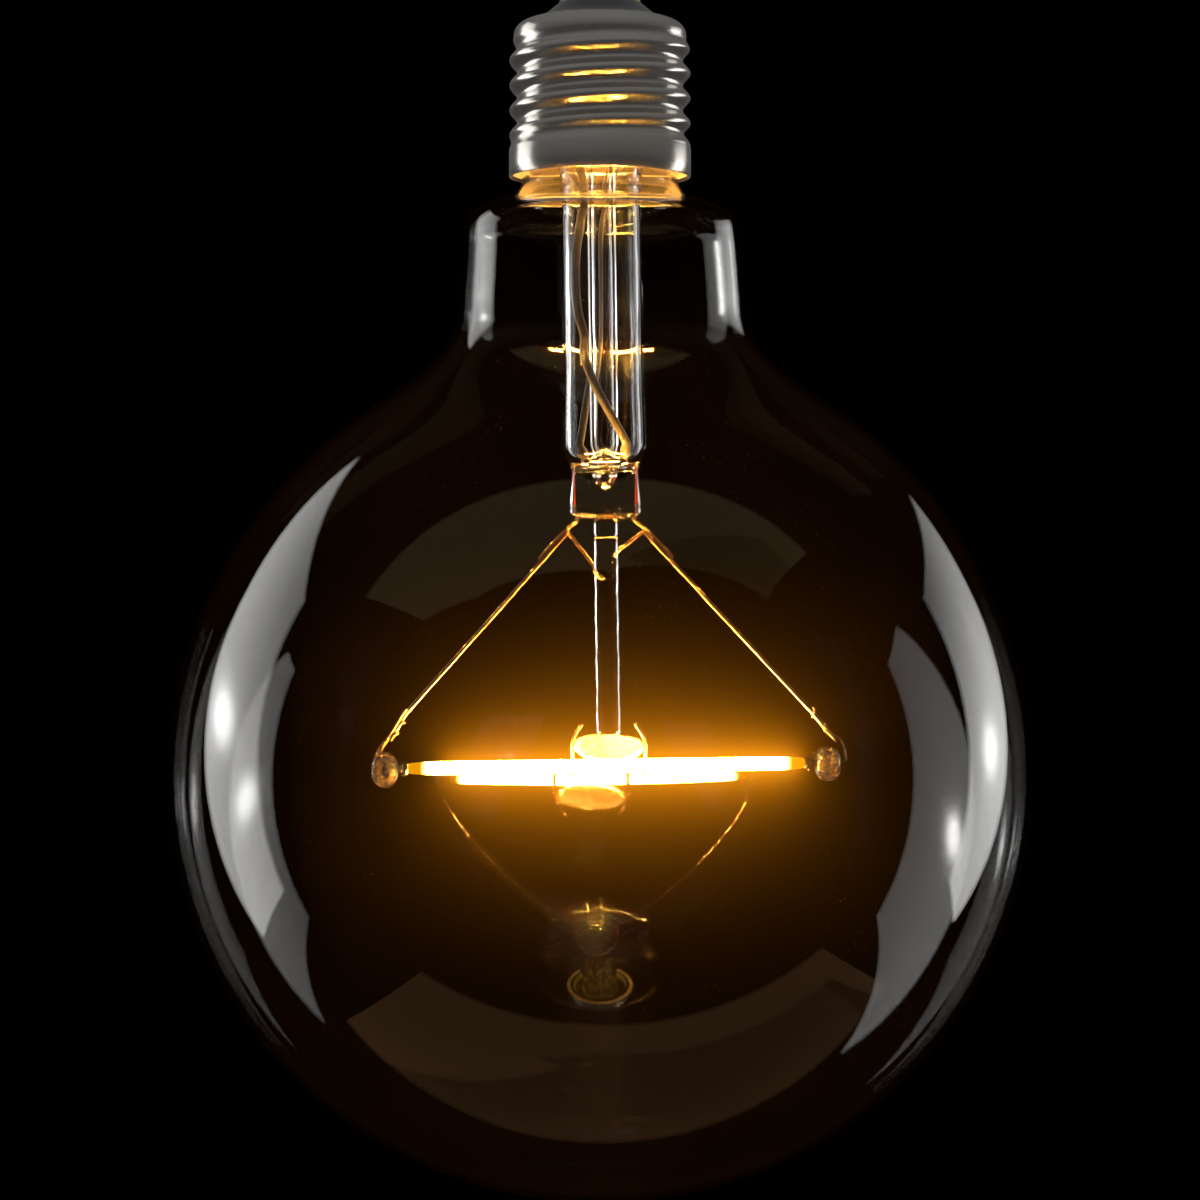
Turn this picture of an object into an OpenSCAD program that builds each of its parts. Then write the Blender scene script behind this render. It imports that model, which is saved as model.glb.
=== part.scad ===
// A clear glass globe lamp that hangs cap up, with one straight light-emitting filament held
// level under a glass button. Every piece is a module, and no piece moves.
// Lengths are in millimetres and +Z is up. The origin is the centre of the cap's rim:
// the cap and its circuit are above it, the glass hangs below it.

/* [Globe] */
// Overall length, from the globe's lowest point to the tip of the contact
overall_length = 175; // [168:0.5:182]
// Widest diameter of the globe
globe_diameter = 125; // [122:0.5:128]
// Drop from the globe's widest circle to its lowest point
globe_drop = 61.4; // [60:0.1:63]
// Rise of the globe's upper half, if it were a whole ellipse
globe_rise = 61.3; // [61:0.1:63]
// Thickness of the blown glass
glass_wall = 0.9; // [0.7:0.1:1.2]
// Radius at the foot of the neck, where the globe's shoulder ends
neck_foot_r = 20.9; // [20:0.1:22]
// Radius at the head of the neck, where it starts to close
neck_head_r = 20.2; // [19:0.1:20.5]
// Radius of the narrow glass collar inside the cap
collar_r = 11.3; // [11:0.05:11.3]

/* [Stem] */
// Diameter of the stem tube
stem_d = 11.7; // [11:0.1:12]
// Wall of the stem tube
stem_wall = 0.9; // [0.8:0.1:1]
// Diameter of the swell just above the press
swell_d = 12.1; // [11.6:0.1:12.4]
// Width of the press, where the tube is pinched flat
press_w = 10.3; // [10:0.1:10.6]
// Thickness of the press
press_t = 4.2; // [4:0.1:4.6]
// Diameter of the exhaust tube
exhaust_d = 4.2; // [4:0.1:4.4]
// Bore of the exhaust tube
exhaust_bore = 2.4; // [2:0.1:2.6]
// Diameter of the solid rod under the press
rod_d = 3.5; // [3.4:0.1:3.7]
// Width of the glass button on the rod's end
button_w = 10.2; // [9.6:0.1:10.8]
// Thickness of the button from front to back
button_t = 6.4; // [6:0.1:7]
// How far the stem leans towards +X in the neck, in degrees
stem_lean = 0.8; // [0:0.1:1]

/* [Wires] */
// Diameter of the two long support wires
support_d = 0.6; // [0.5:0.05:0.65]
// Diameter of the inner leads and the hooks
lead_d = 0.5; // [0.4:0.05:0.55]
// Diameter of the seals in the press
seal_d = 0.4; // [0.35:0.05:0.45]
// Diameter of the thin wires on the beads
thin_d = 0.32; // [0.28:0.02:0.36]
// Outer diameter of the lead sleeves
sleeve_d = 1.4; // [1.2:0.1:1.5]

/* [Filament] */
// Length of the coated strip
filament_l = 58; // [56:0.5:60]
// Diameter of the phosphor coat
coat_d = 1.9; // [1.8:0.05:2.1]
// Number of chips along the strip
chip_count = 28; // [20:1:32]
// Diameter of a glass bead
bead_d = 5.1; // [4.8:0.1:5.4]
// Thickness of a glass bead along the filament
bead_t = 3.9; // [3.7:0.1:4.2]

/* [Cap] */
// Height of the cap, from its rim to the tip of the contact
cap_height = 27; // [26.8:0.1:27.2]
// Radius of the plain band above the rim
band_r = 13.2; // [13.18:0.01:13.25]
// Height of the plain band
band_h = 4.2; // [4:0.1:4.4]
// Radius of the screw thread's crest
crest_r = 13.15; // [13.05:0.01:13.15]
// Radius of the screw thread's root
root_r = 12.05; // [12:0.01:12.1]
// Rise of the thread in one turn
thread_pitch = 3.629; // [3.629:0.001:3.629]
// Height at which the thread has died away
thread_top = 20.4; // [20.2:0.1:20.6]
// Thickness of the rolled sheet
shell_wall = 0.35; // [0.3:0.01:0.4]

/* [Hidden] */
$fn = 64;
LEFT = -1;
RIGHT = 1;

// The globe's widest circle, and the heights above it at which the outline changes.
equator = cap_height - overall_length + globe_drop;
shoulder_h = 26;
neck_foot_h = 68.8;
neck_head_h = 78;
collar_top = 8;
flare_r = collar_r - glass_wall;

// Heights on the stem, above the globe's widest circle, and the sides of its skin.
stem_sides = 28;
press_neck_w = 9.6;
swell_h = 47.6;
floor_h = 46.2;
press_top_h = 43.6;
press_foot_h = 37.1;
nub_foot_h = 34.2;
button_h = 3.9;
button_half_h = 1.85;
rod_foot_h = button_h + 1;
filament_h = 1.1;
filament_shift = -0.4;

// Places of the wires, each as [x, height] on the stem's own axes.
seal_x = 4.4;
seal_top_h = 44.7;
seal_foot_h = 38.9;
bead_x = 32.2;
bead_h = 0.9;
hook_x = button_w / 2 + lead_d / 2 - 0.12;
lug_t = 0.3;
lug_h = 1.5;
cheek_h = 0.7;
coat_inset = 0.2;
strip_t = 0.4;
strip_h = 0.9;
chip_t = 0.15;

// Places of the circuit inside the cap.
board_y = 2;
board_t = 1;
resistor_x = 5.6;
resistor_y = -2.6;

// Colours, as the photograph shows them.
GLASS = [0.86, 0.9, 0.9, 0.35];
NICKEL = [0.72, 0.68, 0.62];
COPPER = [0.8, 0.33, 0.18];
TAN = [0.72, 0.6, 0.42];

// A vector of length one.
function unit(v) = v / norm(v);

// A point of a cubic curve with the four control points p, at t from 0 to 1.
function cubic(p, t) =
    pow(1 - t, 3) * p[0] + 3 * t * pow(1 - t, 2) * p[1]
    + 3 * t * t * (1 - t) * p[2] + pow(t, 3) * p[3];

// A whole cubic curve in n steps, without its first point.
function cubic_run(p, n) = [for (i = [1:n]) cubic(p, i / n)];

// A quarter of an ellipse about the point c, from angle a to angle b, in n steps.
function ellipse_run(c, rx, rz, a, b, n) =
    [for (i = [0:n]) let (s = a + (b - a) * i / n) [c[0] + rx * cos(s), c[1] + rz * sin(s)]];

// An outline moved sideways by d, to its left as it is walked.
function moved_outline(p, d) = [
    for (i = [0:len(p) - 1])
        let (way = unit(p[min(i + 1, len(p) - 1)] - p[max(i - 1, 0)]))
            p[i] + d * [-way[1], way[0]]
];

// The same list from its end to its start.
function reversed(p) = [for (i = [len(p) - 1:-1:0]) p[i]];

// A smooth run through hand-placed points, with n steps between neighbours.
function smooth_run(p, n) = concat([
    for (i = [0:len(p) - 2], k = [0:n - 1])
        let (
            a = p[max(i - 1, 0)], b = p[i], c = p[i + 1], d = p[min(i + 2, len(p) - 1)],
            t = k / n
        )
            0.5 * (2 * b + (c - a) * t + (2 * a - 5 * b + 4 * c - d) * t * t
            + (3 * b - a - 3 * c + d) * t * t * t)
], [p[len(p) - 1]]);

// The direction of a run at each of its points.
function directions(p) =
    [for (i = [0:len(p) - 1]) unit(p[min(i + 1, len(p) - 1)] - p[max(i - 1, 0)])];

// A side vector for each direction, carried along the run without twist.
function carried_sides(way, first) = [
    for (
        i = 0, side = unit(first - (first * way[0]) * way[0]);
        i < len(way);
        i = i + 1,
        side = unit(side - (side * way[min(i, len(way) - 1)]) * way[min(i, len(way) - 1)])
    ) side
];

// A round wire or tube along a run of points.
module swept(run, d, sides = 8) {
    way = directions(run);
    side = carried_sides(way, [0.2, 1, 0.1]);
    last = len(run) - 1;
    rings = [
        for (i = [0:last], k = [0:sides - 1])
            let (a = 360 * k / sides)
                run[i] + d / 2 * (cos(a) * side[i] + sin(a) * cross(way[i], side[i]))
    ];
    start_cap = [for (k = [1:sides - 2]) [0, k + 1, k]];
    end_cap = [for (k = [1:sides - 2]) [for (v = [0, k, k + 1]) last * sides + v]];
    walls = [
        for (i = [0:last - 1], k = [0:sides - 1])
            let (
                a = i * sides + k, b = i * sides + (k + 1) % sides,
                c = a + sides, e = b + sides
            )
                each [[a, b, e], [a, e, c]]
    ];
    polyhedron(rings, concat(start_cap, end_cap, walls), convexity = 6);
}

// A round tube along a run of points, open at both ends.
module swept_tube(run, d, bore, sides) {
    way = directions(run);
    side = carried_sides(way, [0.2, 1, 0.1]);
    last = len(run) - 1;
    size = (last + 1) * sides;
    rings = [
        for (r = [d / 2, bore / 2], i = [0:last], k = [0:sides - 1])
            let (a = 360 * k / sides)
                run[i] + r * (cos(a) * side[i] + sin(a) * cross(way[i], side[i]))
    ];
    walls = [
        for (i = [0:last - 1], k = [0:sides - 1])
            let (
                a = i * sides + k, b = i * sides + (k + 1) % sides,
                c = a + sides, e = b + sides
            )
                each [
                    [a, b, e], [a, e, c],
                    [size + a, size + e, size + b], [size + a, size + c, size + e]
                ]
    ];
    ends = [
        for (k = [0:sides - 1])
            let (b = (k + 1) % sides, t = last * sides)
                each [
                    [k, size + b, b], [k, size + k, size + b],
                    [t + k, t + b, size + t + b], [t + k, size + t + b, size + t + k]
                ]
    ];
    polyhedron(rings, concat(walls, ends), convexity = 6);
}

// A straight round wire between two points.
module straight(a, b, d) {
    v = b - a;
    translate(a) rotate([0, acos(v[2] / norm(v)), atan2(v[1], v[0])]) cylinder(h = norm(v), d = d);
}

// A wire of straight runs, with a slightly fuller ball at each bend.
module bent(points, d) {
    for (i = [0:len(points) - 2]) straight(points[i], points[i + 1], d);
    for (i = [1:len(points) - 2]) translate(points[i]) sphere(d = 1.04 * d);
}

// Puts its children on the stem, which leans about its seal in the collar.
module on_stem() {
    translate([0, 0, collar_top]) rotate([0, -stem_lean, 0]) translate([0, 0, -collar_top])
        children();
}

// A point on the stem's axes, from its side, depth and height above the widest circle.
function at(x, y, h) = [x, y, equator + h];

// The blown glass envelope: an elliptical globe, a drawn shoulder, a neck and a collar.
module globe_envelope() {
    r = globe_diameter / 2;
    shoulder_angle = asin(shoulder_h / globe_rise);
    lower = ellipse_run([0, equator], r, globe_drop, -90, 0, 24);
    upper = ellipse_run([0, equator], r, globe_rise, 0, shoulder_angle, 8);
    joint = upper[len(upper) - 1];
    slope = unit([-r * sin(shoulder_angle), globe_rise * cos(shoulder_angle)]);
    foot = [neck_foot_r, equator + neck_foot_h];
    head = [neck_head_r, equator + neck_head_h];
    shoulder = cubic_run([joint, joint + 35 * slope, foot - [0, 15.5], foot], 20);
    mouth = cubic_run([head, head + [0, 6], [collar_r, -4.6], [collar_r, 0]], 12);
    outline = concat(
        lower, [for (i = [1:len(upper) - 1]) upper[i]], shoulder, [head], mouth,
        [[collar_r, collar_top]]
    );
    inside = moved_outline(outline, glass_wall);
    color(GLASS) rotate_extrude()
        polygon(concat(outline, reversed([for (p = inside) [max(p[0], 0), p[1]]])));
}

// One level ring of the stem: an outline of half width v[0] and half thickness v[1] at the
// height v[2], a circle where v[3] is 1 and more like a rounded box as v[3] falls.
function stem_ring(v) = [
    for (k = [0:stem_sides - 1])
        let (c = cos(360 * k / stem_sides), s = sin(360 * k / stem_sides))
            at(v[0] * sign(c) * pow(abs(c), v[3]), v[1] * sign(s) * pow(abs(s), v[3]), v[2])
];

// Round rings for an outline of points [radius, z].
function round_rings(outline) = [for (p = outline) [p[0], p[0], p[1] - equator, 1]];

// The outside of the stem tube: its flare, the tube, the swell, the press and the nub.
function stem_outside() =
    let (
        r = stem_d / 2, swell_r = swell_d / 2,
        flare = concat(
            [[flare_r, collar_top], [flare_r, collar_top - 1.2]],
            cubic_run([[flare_r, collar_top - 1.2], [7, 6.4], [r, 4], [r, -4]], 7)
        ),
        swell = concat([[r, equator + 58]], cubic_run([
            [r, equator + 58], [r, equator + 54],
            [swell_r, equator + 51], [swell_r, equator + swell_h]
        ], 4)),
        pinch = [
            for (i = [1:6])
                let (t = i / 6)
                    [
                        cubic([swell_r, swell_r, press_neck_w / 2, press_neck_w / 2], t),
                        cubic([swell_r, swell_r, press_t / 2, press_t / 2], t),
                        swell_h - (swell_h - press_top_h) * t, 1 - 0.4 * t
                    ]
        ],
        press = [
            for (i = [1:3])
                let (t = i / 3, h = press_top_h - (press_top_h - press_foot_h - 1) * t)
                    [cubic([press_neck_w, press_neck_w, press_w, press_w], t) / 2, press_t / 2, h, 0.6]
        ],
        foot = [
            for (a = [30, 60, 90])
                [press_w / 2 - 1 + cos(a), press_t / 2 - 0.15 + 0.15 * cos(a), press_foot_h + 1 - sin(a), 0.6]
        ],
        nub = [for (h = [press_foot_h, nub_foot_h]) [rod_d / 2, rod_d / 2, h, 1]]
    )
        concat(round_rings(concat(flare, swell)), pinch, press, foot, nub);

// The hollow of the stem tube, down to the floor and the funnel under the exhaust tube.
function stem_inside() =
    let (
        r = stem_d / 2 - stem_wall, swell_r = swell_d / 2 - stem_wall,
        flare = concat(
            [[flare_r - stem_wall, collar_top], [flare_r - stem_wall - 0.3, collar_top - 0.9]],
            cubic_run([[flare_r - stem_wall - 0.3, collar_top - 0.9], [6.4, 5.4], [r, 3], [r, -5]], 6)
        ),
        swell = concat([[r, equator + 58]], cubic_run([
            [r, equator + 58], [r, equator + 54],
            [swell_r, equator + 51], [swell_r, equator + swell_h]
        ], 4)),
        funnel = [
            [swell_r, equator + floor_h + 0.5], [swell_r - 0.3, equator + floor_h],
            [exhaust_bore / 2 + 0.3, equator + floor_h],
            [exhaust_bore / 2 + 0.5, equator + 43.8], [0.35, equator + 41]
        ]
    )
        round_rings(concat(flare, swell, funnel));

// The glass of the stem tube as one skin: down the outside, and down the inside.
module stem_glass() {
    outside = stem_outside();
    inside = stem_inside();
    n = stem_sides;
    m = len(outside) * n;
    last = m + (len(inside) - 1) * n;
    points = [for (v = concat(outside, inside)) each stem_ring(v)];
    outer_walls = [
        for (i = [0:len(outside) - 2], k = [0:n - 1])
            let (a = i * n + k, b = i * n + (k + 1) % n)
                each [[a, a + n, b], [b, a + n, b + n]]
    ];
    inner_walls = [
        for (i = [0:len(inside) - 2], k = [0:n - 1])
            let (a = m + i * n + k, b = m + i * n + (k + 1) % n)
                each [[a, b, a + n], [b, b + n, a + n]]
    ];
    rim = [
        for (k = [0:n - 1])
            let (b = (k + 1) % n)
                each [[k, b, m + b], [k, m + b, m + k]]
    ];
    nub_face = [for (k = [1:n - 2]) [m - n, m - n + k, m - n + k + 1]];
    funnel_face = [for (k = [1:n - 2]) [last, last + k + 1, last + k]];
    polyhedron(points, concat(outer_walls, inner_walls, rim, nub_face, funnel_face), convexity = 6);
}

// The stem tube, with the holes of both seals and the hole it was blown out through.
module stem_tube() {
    color(GLASS) on_stem() difference() {
        stem_glass();
        translate(at(0, 0, 41.9)) rotate([90, 0, 0]) cylinder(h = 4, d = 0.9);
        for (x = [-seal_x, seal_x]) {
            straight(at(x, 0, seal_foot_h), at(x, 0, floor_h + 1), seal_d);
            straight(at(x, 0, seal_foot_h), at(x, 0, press_foot_h - 1), lead_d);
        }
    }
}

// The exhaust tube, open into the press and melted shut inside the cap.
module exhaust_tube() {
    r = exhaust_d / 2;
    foot = equator + floor_h;
    tip = 9.6;
    outline = concat(
        [[r, foot], [r, tip - 5]],
        cubic_run([[r, tip - 5], [r, tip - 2.2], [0.9, tip - 1.6], [0, tip]], 10)
    );
    bore = concat(
        [[exhaust_bore / 2, foot], [exhaust_bore / 2, tip - 5.4]],
        cubic_run([[exhaust_bore / 2, tip - 5.4], [exhaust_bore / 2, tip - 3.4],
            [0.3, tip - 3], [0, tip - 2.4]], 8)
    );
    color(GLASS) on_stem() rotate_extrude() polygon(concat(outline, reversed(bore)));
}

// The solid rod from the nub to the button, holding the tips of both support wires.
module glass_rod() {
    color(GLASS) on_stem() difference() {
        translate(at(0, 0, rod_foot_h)) rotate([0, 0, 90])
            cylinder(h = nub_foot_h - rod_foot_h, d = rod_d);
        for (side = [LEFT, RIGHT]) straight(anchor_tip(side), support_bend(side), support_d);
    }
}

// The button: the rod's end melted into a flat, slightly lopsided drop.
module button_solid() {
    translate(at(0, 0, button_h)) rotate([0, 3, 0]) rotate([90, 0, 0])
        intersection() {
            translate([0, 0, -button_t / 2]) linear_extrude(button_t) polygon(button_outline());
            rotate([-90, 0, 0]) rotate_extrude() polygon([
                for (i = [0:20])
                    let (a = -90 + 9 * i, c = cos(a))
                        [button_w / 2 * pow(c, 0.7), (button_half_h + 0.3) * sin(a)]
            ]);
            rotate([0, 90, 0]) translate([0, 0, -button_w]) linear_extrude(2 * button_w)
                polygon([
                    for (i = [0:23])
                        let (a = 15 * i, c = cos(a), s = sin(a))
                            [button_t / 2 * sign(c) * pow(abs(c), 0.8),
                                (button_half_h + 0.4) * sign(s) * pow(abs(s), 0.8)]
                ]);
        }
}
function button_outline() = [
    for (i = [0:35])
        let (a = 10 * i, c = cos(a), s = sin(a))
            [button_w / 2 * sign(c) * pow(abs(c), 0.75),
                button_half_h * sign(s) * pow(abs(s), 0.75)]
];
module support_button() {
    color(GLASS) on_stem() difference() {
        button_solid();
        translate(at(0, 0, rod_foot_h)) cylinder(h = 4, d = rod_d);
        for (side = [LEFT, RIGHT]) swept(smooth_run(hook_points(side), 3), lead_d);
    }
}

// A hook's route: its tip above the button, down its side, and round under the filament.
function hook_points(side) = [
    at(side * (hook_x - 1.3), 0.6, 7.1),
    at(side * hook_x, 0.9, 4.7),
    at(side * hook_x, 1.25, 1.4),
    at(side * hook_x, 0.9, filament_h - 0.95),
    at(side * hook_x, 0, filament_h - 1.25),
    at(side * hook_x, -0.7, filament_h - 1.1)
];
module hook(side) {
    color(NICKEL) on_stem() swept(smooth_run(hook_points(side), 3), lead_d);
}

// A support wire: its tip in the rod, its bend under the press, and its run down to the bead.
function anchor_tip(side) = side == LEFT ? at(-0.4, 0.3, 28.3) : at(0.8, 0.3, 31.6);
function support_bend(side) = at(side * 5.5, 0.3, 35.1);
function support_points(side) =
    side == LEFT
    ? [anchor_tip(side), support_bend(side), at(-29.6, 0.1, 8.9), at(-31.6, 0, 5.4)]
    : [anchor_tip(side), support_bend(side), at(29.9, 0.1, 8.2), at(33, 0, 4.4)];
module support_wire(side) {
    color(NICKEL) on_stem() bent(support_points(side), support_d);
}

// An inner lead: out of the press's foot, then welded alongside the support wire.
function beside_support(side, along) =
    let (
        p = support_points(side),
        way = unit(p[2] - p[1]),
        out = unit([side * -way[2], 0, side * way[0]]) * (support_d + lead_d) / 2
    )
        p[1] + along * way + out;
module inner_lead(side) {
    color(NICKEL) on_stem() bent([
        at(side * seal_x, 0, seal_foot_h), at(side * seal_x, 0, press_foot_h - 0.3),
        beside_support(side, 0.9), beside_support(side, 5.6)
    ], lead_d);
}

// A seal wire: the copper-clad piece that the glass of the press grips gas-tight.
module seal_wire(side) {
    color(COPPER) on_stem() straight(
        at(side * seal_x, 0, seal_foot_h), at(side * seal_x, 0, seal_top_h), seal_d);
}

// The route of a lead through the stem tube: one crosses in front of the exhaust tube and
// one behind it, and both go on up to the circuit board's foot.
function lead_route(side) =
    side == RIGHT
    ? [
        at(4.2, -0.2, 46.9), at(3.6, -1.6, 48.2), at(1.9, -3, 51.6), at(-1, -3.2, 56.2),
        at(-2.7, -2.1, 59.8), at(-2.6, -2.2, 62.5), at(-3.3, -2.1, 66), at(-3.7, -1.7, 70),
        at(-3.6, -1.8, 75), at(-2.8, -2.4, 80.5), at(-2.5, -2.5, 85), at(-4, 0, 92),
        at(-4.6, 1, 95)
    ]
    : [
        at(-4.2, 0.3, 46.9), at(-3.7, 1.5, 48.6), at(-3, 2.3, 52), at(-2.1, 3, 56.4),
        at(-0.8, 3.5, 60.6), at(-0.5, 3.5, 66), at(-0.3, 3.4, 72), at(-0.2, 3.3, 78),
        at(1.2, 3, 84), at(3.4, 2, 90), at(4.6, 1, 95)
    ];
module lead_sleeve(side) {
    color(TAN) on_stem() swept_tube(smooth_run(lead_route(side), 2), sleeve_d, seal_d + 0.3, 8);
}

// An outer lead: from the seal wire, through its sleeve, to a pad on the circuit board.
module outer_lead(side) {
    route = lead_route(side);
    pad = route[len(route) - 1];
    foot = at(side * seal_x, 0, seal_top_h);
    run = smooth_run(concat([foot], route, [pad + [0, 0.4, 1]]), 2);
    color(COPPER) on_stem() swept(run, seal_d, 8);
}

// A glass bead: a short barrel whose axis lies along the filament.
module bead_solid(side) {
    translate(at(side * bead_x + filament_shift, 0, bead_h)) rotate([0, 90, 0]) rotate_extrude()
        polygon([
            for (i = [0:24])
                let (a = -90 + 7.5 * i, c = cos(a), s = sin(a))
                    [bead_d / 2 * pow(abs(c), 0.72), bead_t / 2 * sign(s) * pow(abs(s), 0.72)]
        ]);
}
module glass_bead(side) {
    color(GLASS) on_stem() difference() {
        bead_solid(side);
        lug_tongue(side);
        straight(bead_wire_root(side), bead_wire_exit(side), thin_d + 0.04);
        if (side == LEFT)
            straight(bead_wire_root(side) + [-1, 0, 0.2], at(-33.6, 0, 3.6), thin_d + 0.04);
    }
}

// Where a thin wire starts inside its bead, and where it leaves the glass.
function bead_wire_root(side) = at(side * bead_x + filament_shift, side == LEFT ? 0 : 0.4, bead_h + 0.9);
function bead_wire_exit(side) = side == LEFT ? at(-32.7, 0, 3.9) : at(34.6, 0.9, 1.6);

// The turns that a thin wire makes about the lower part of its support wire.
function turns_about(a, b, r, turns, start, steps) =
    let (way = unit(b - a), u = unit(cross(way, [0, 1, 0])), v = cross(way, u))
        [
            for (i = [0:steps])
                let (t = i / steps, q = start + 360 * turns * t)
                    a + t * (b - a) + r * (cos(q) * u + sin(q) * v)
        ];
module bead_wire(side) {
    p = support_points(side);
    r = (support_d + thin_d) / 2 + 0.02;
    color(NICKEL) on_stem()
        if (side == LEFT) {
            swept(concat(
                smooth_run([bead_wire_root(side), bead_wire_exit(side), at(-32.7, -0.2, 4.9)], 3),
                turns_about(p[3] + 0.2 * unit(p[2] - p[3]), p[2] + 0.4 * unit(p[1] - p[2]),
                    r, 2.25, 200, 34)
            ), thin_d, 8);
            swept(smooth_run([
                bead_wire_root(side) + [-1, 0, 0.2], at(-33.6, 0, 3.6), at(-33.4, -0.3, 4.9),
                at(-32.6, -0.62, 5.7), at(-31.4, -0.66, 6.6), at(-29.9, -0.6, 9), at(-29.3, -0.5, 9.8)
            ], 4), thin_d, 8);
        } else {
            swept(concat(
                smooth_run([bead_wire_root(side), bead_wire_exit(side), at(35, 0.6, 2.6),
                    at(34.5, 0.3, 4)], 3),
                turns_about(p[3] + 0.2 * unit(p[2] - p[3]), p[2] - 0.2 * unit(p[2] - p[3]),
                    r, 1.5, 30, 24),
                [p[2] + [0.3, -0.5, 0.9], p[2] + [0.2, -0.6, 1.6]]
            ), thin_d, 8);
        }
}

// A filament lug: two cheeks that clamp the strip inside the coat, a block outside it, and a
// tongue set into the bead.
module lug_tongue(side) {
    inner = side * bead_x + filament_shift;
    translate(at(inner - (side == RIGHT ? 2.6 : -0.2), -lug_t / 2, filament_h - 0.4))
        cube([2.4, lug_t, 0.8]);
}
module lug_block(side, inner, outer, height) {
    end = filament_shift + side * filament_l / 2;
    translate(at(end - (side == RIGHT ? inner : outer), -lug_t - strip_t / 2, filament_h - height / 2))
        cube([inner + outer, 2 * lug_t + strip_t, height]);
}
module filament_lug(side) {
    color(NICKEL) on_stem() {
        lug_tongue(side);
        difference() {
            union() {
                lug_block(side, coat_inset, 1.25, lug_h);
                lug_block(side, 1.6, 0, cheek_h);
            }
            strip_solid();
        }
    }
}

// The strip that carries the chips.
module strip_solid() {
    translate(at(filament_shift - filament_l / 2, -strip_t / 2, filament_h - strip_h / 2))
        cube([filament_l, strip_t, strip_h]);
}
module filament_strip() {
    color([0.92, 0.92, 0.88]) on_stem() strip_solid();
}

// The chips in a row on the front of the strip.
module chip_row() {
    step = (filament_l - 8) / chip_count;
    for (i = [0:chip_count - 1])
        translate(at(filament_shift + (i - (chip_count - 1) / 2) * step - 0.5 * step * 0.7,
            -strip_t / 2 - chip_t, filament_h - 0.15))
            cube([step * 0.7, chip_t, 0.3]);
}
module filament_chips() {
    color([0.35, 0.4, 0.75]) on_stem() chip_row();
}

// The phosphor coat: a round bar that thins a little towards its ends.
module coat_solid() {
    r = coat_d / 2;
    half = filament_l / 2 - coat_inset;
    body = [[0, -half], [r - 0.3, -half], [r - 0.12, -half + 0.3], [r, -half + 3.4]];
    translate(at(filament_shift, 0, filament_h)) rotate([0, 90, 0]) rotate_extrude()
        polygon(concat(body, [for (p = reversed(body)) [p[0], -p[1]]]));
}
module filament_coat() {
    color([1, 0.72, 0.2]) on_stem() difference() {
        coat_solid();
        strip_solid();
        chip_row();
        for (side = [LEFT, RIGHT]) lug_block(side, 1.6, 0, cheek_h);
    }
}

// Radius of the rolled thread's outside at a height, for a share of a turn.
function thread_r(z, turn) =
    let (
        rise = z - band_h,
        run = thread_top - band_h,
        mean = (crest_r + root_r) / 2,
        swing = (crest_r - root_r) / 2,
        fade_in = min(1, rise / 2.2),
        fade_out = min(1, (run - rise) / 2.2),
        wave = cos(360 * (rise / thread_pitch - turn))
    )
        (band_r - 0.05) * (1 - fade_in) + fade_in * (mean + swing * fade_out * wave)
        - (1 - fade_out) * 0.06;

// The rolled thread as one closed sheet, with a right-hand wave inside and out.
module rolled_thread() {
    sides = 40;
    rows = 30;
    heights = [for (i = [0:rows]) band_h + (thread_top - band_h) * i / rows];
    inset = [for (i = [0:rows]) i == 0 || i == rows ? shell_wall - 0.13 : shell_wall];
    outer = [
        for (z = heights, k = [0:sides - 1])
            let (r = thread_r(z, k / sides)) [r * cos(9 * k), r * sin(9 * k), z]
    ];
    inner = [
        for (i = [0:rows], k = [0:sides - 1])
            let (z = heights[i], r = thread_r(z, k / sides) - inset[i]) [r * cos(9 * k), r * sin(9 * k), z]
    ];
    m = len(outer);
    sheet = [
        for (i = [0:rows - 1], k = [0:sides - 1])
            let (
                a = i * sides + k, b = i * sides + (k + 1) % sides,
                c = a + sides, e = b + sides
            )
                each [[a, e, b], [a, c, e], [m + a, m + b, m + e], [m + a, m + e, m + c]]
    ];
    rims = [
        for (k = [0:sides - 1])
            let (b = (k + 1) % sides, t = rows * sides)
                each [
                    [k, b, m + b], [k, m + b, m + k],
                    [t + k, m + t + b, t + b], [t + k, m + t + k, m + t + b]
                ]
    ];
    polyhedron(concat(outer, inner), concat(sheet, rims), convexity = 10);
}

// The screw shell: a plain band, the rolled thread, and the edge turned in over the insulator.
module screw_shell() {
    top_r = (crest_r + root_r) / 2;
    turned = concat(
        [[top_r, thread_top]],
        cubic_run([[top_r, thread_top], [top_r, thread_top + 1.7], [11, 22.7], [9.4, 22.9]], 8)
    );
    color([0.8, 0.79, 0.75]) {
        difference() {
            cylinder(h = band_h, r = band_r);
            translate([0, 0, -1]) cylinder(h = band_h + 2, r = band_r - shell_wall);
        }
        rolled_thread();
        rotate_extrude() polygon(concat(turned, reversed(moved_outline(turned, shell_wall))));
    }
}

// The cement between the glass collar and the shell, notched for the side wire.
module cap_cement() {
    inner_root = root_r - shell_wall - 0.05;
    color([0.86, 0.84, 0.78]) difference() {
        rotate_extrude() polygon([
            [collar_r, 0.5], [band_r - shell_wall, 0.5], [band_r - shell_wall, band_h],
            [inner_root, band_h], [inner_root, collar_top - 0.4], [collar_r, collar_top - 0.4]
        ]);
        side_wire_path(0.42);
    }
}

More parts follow.
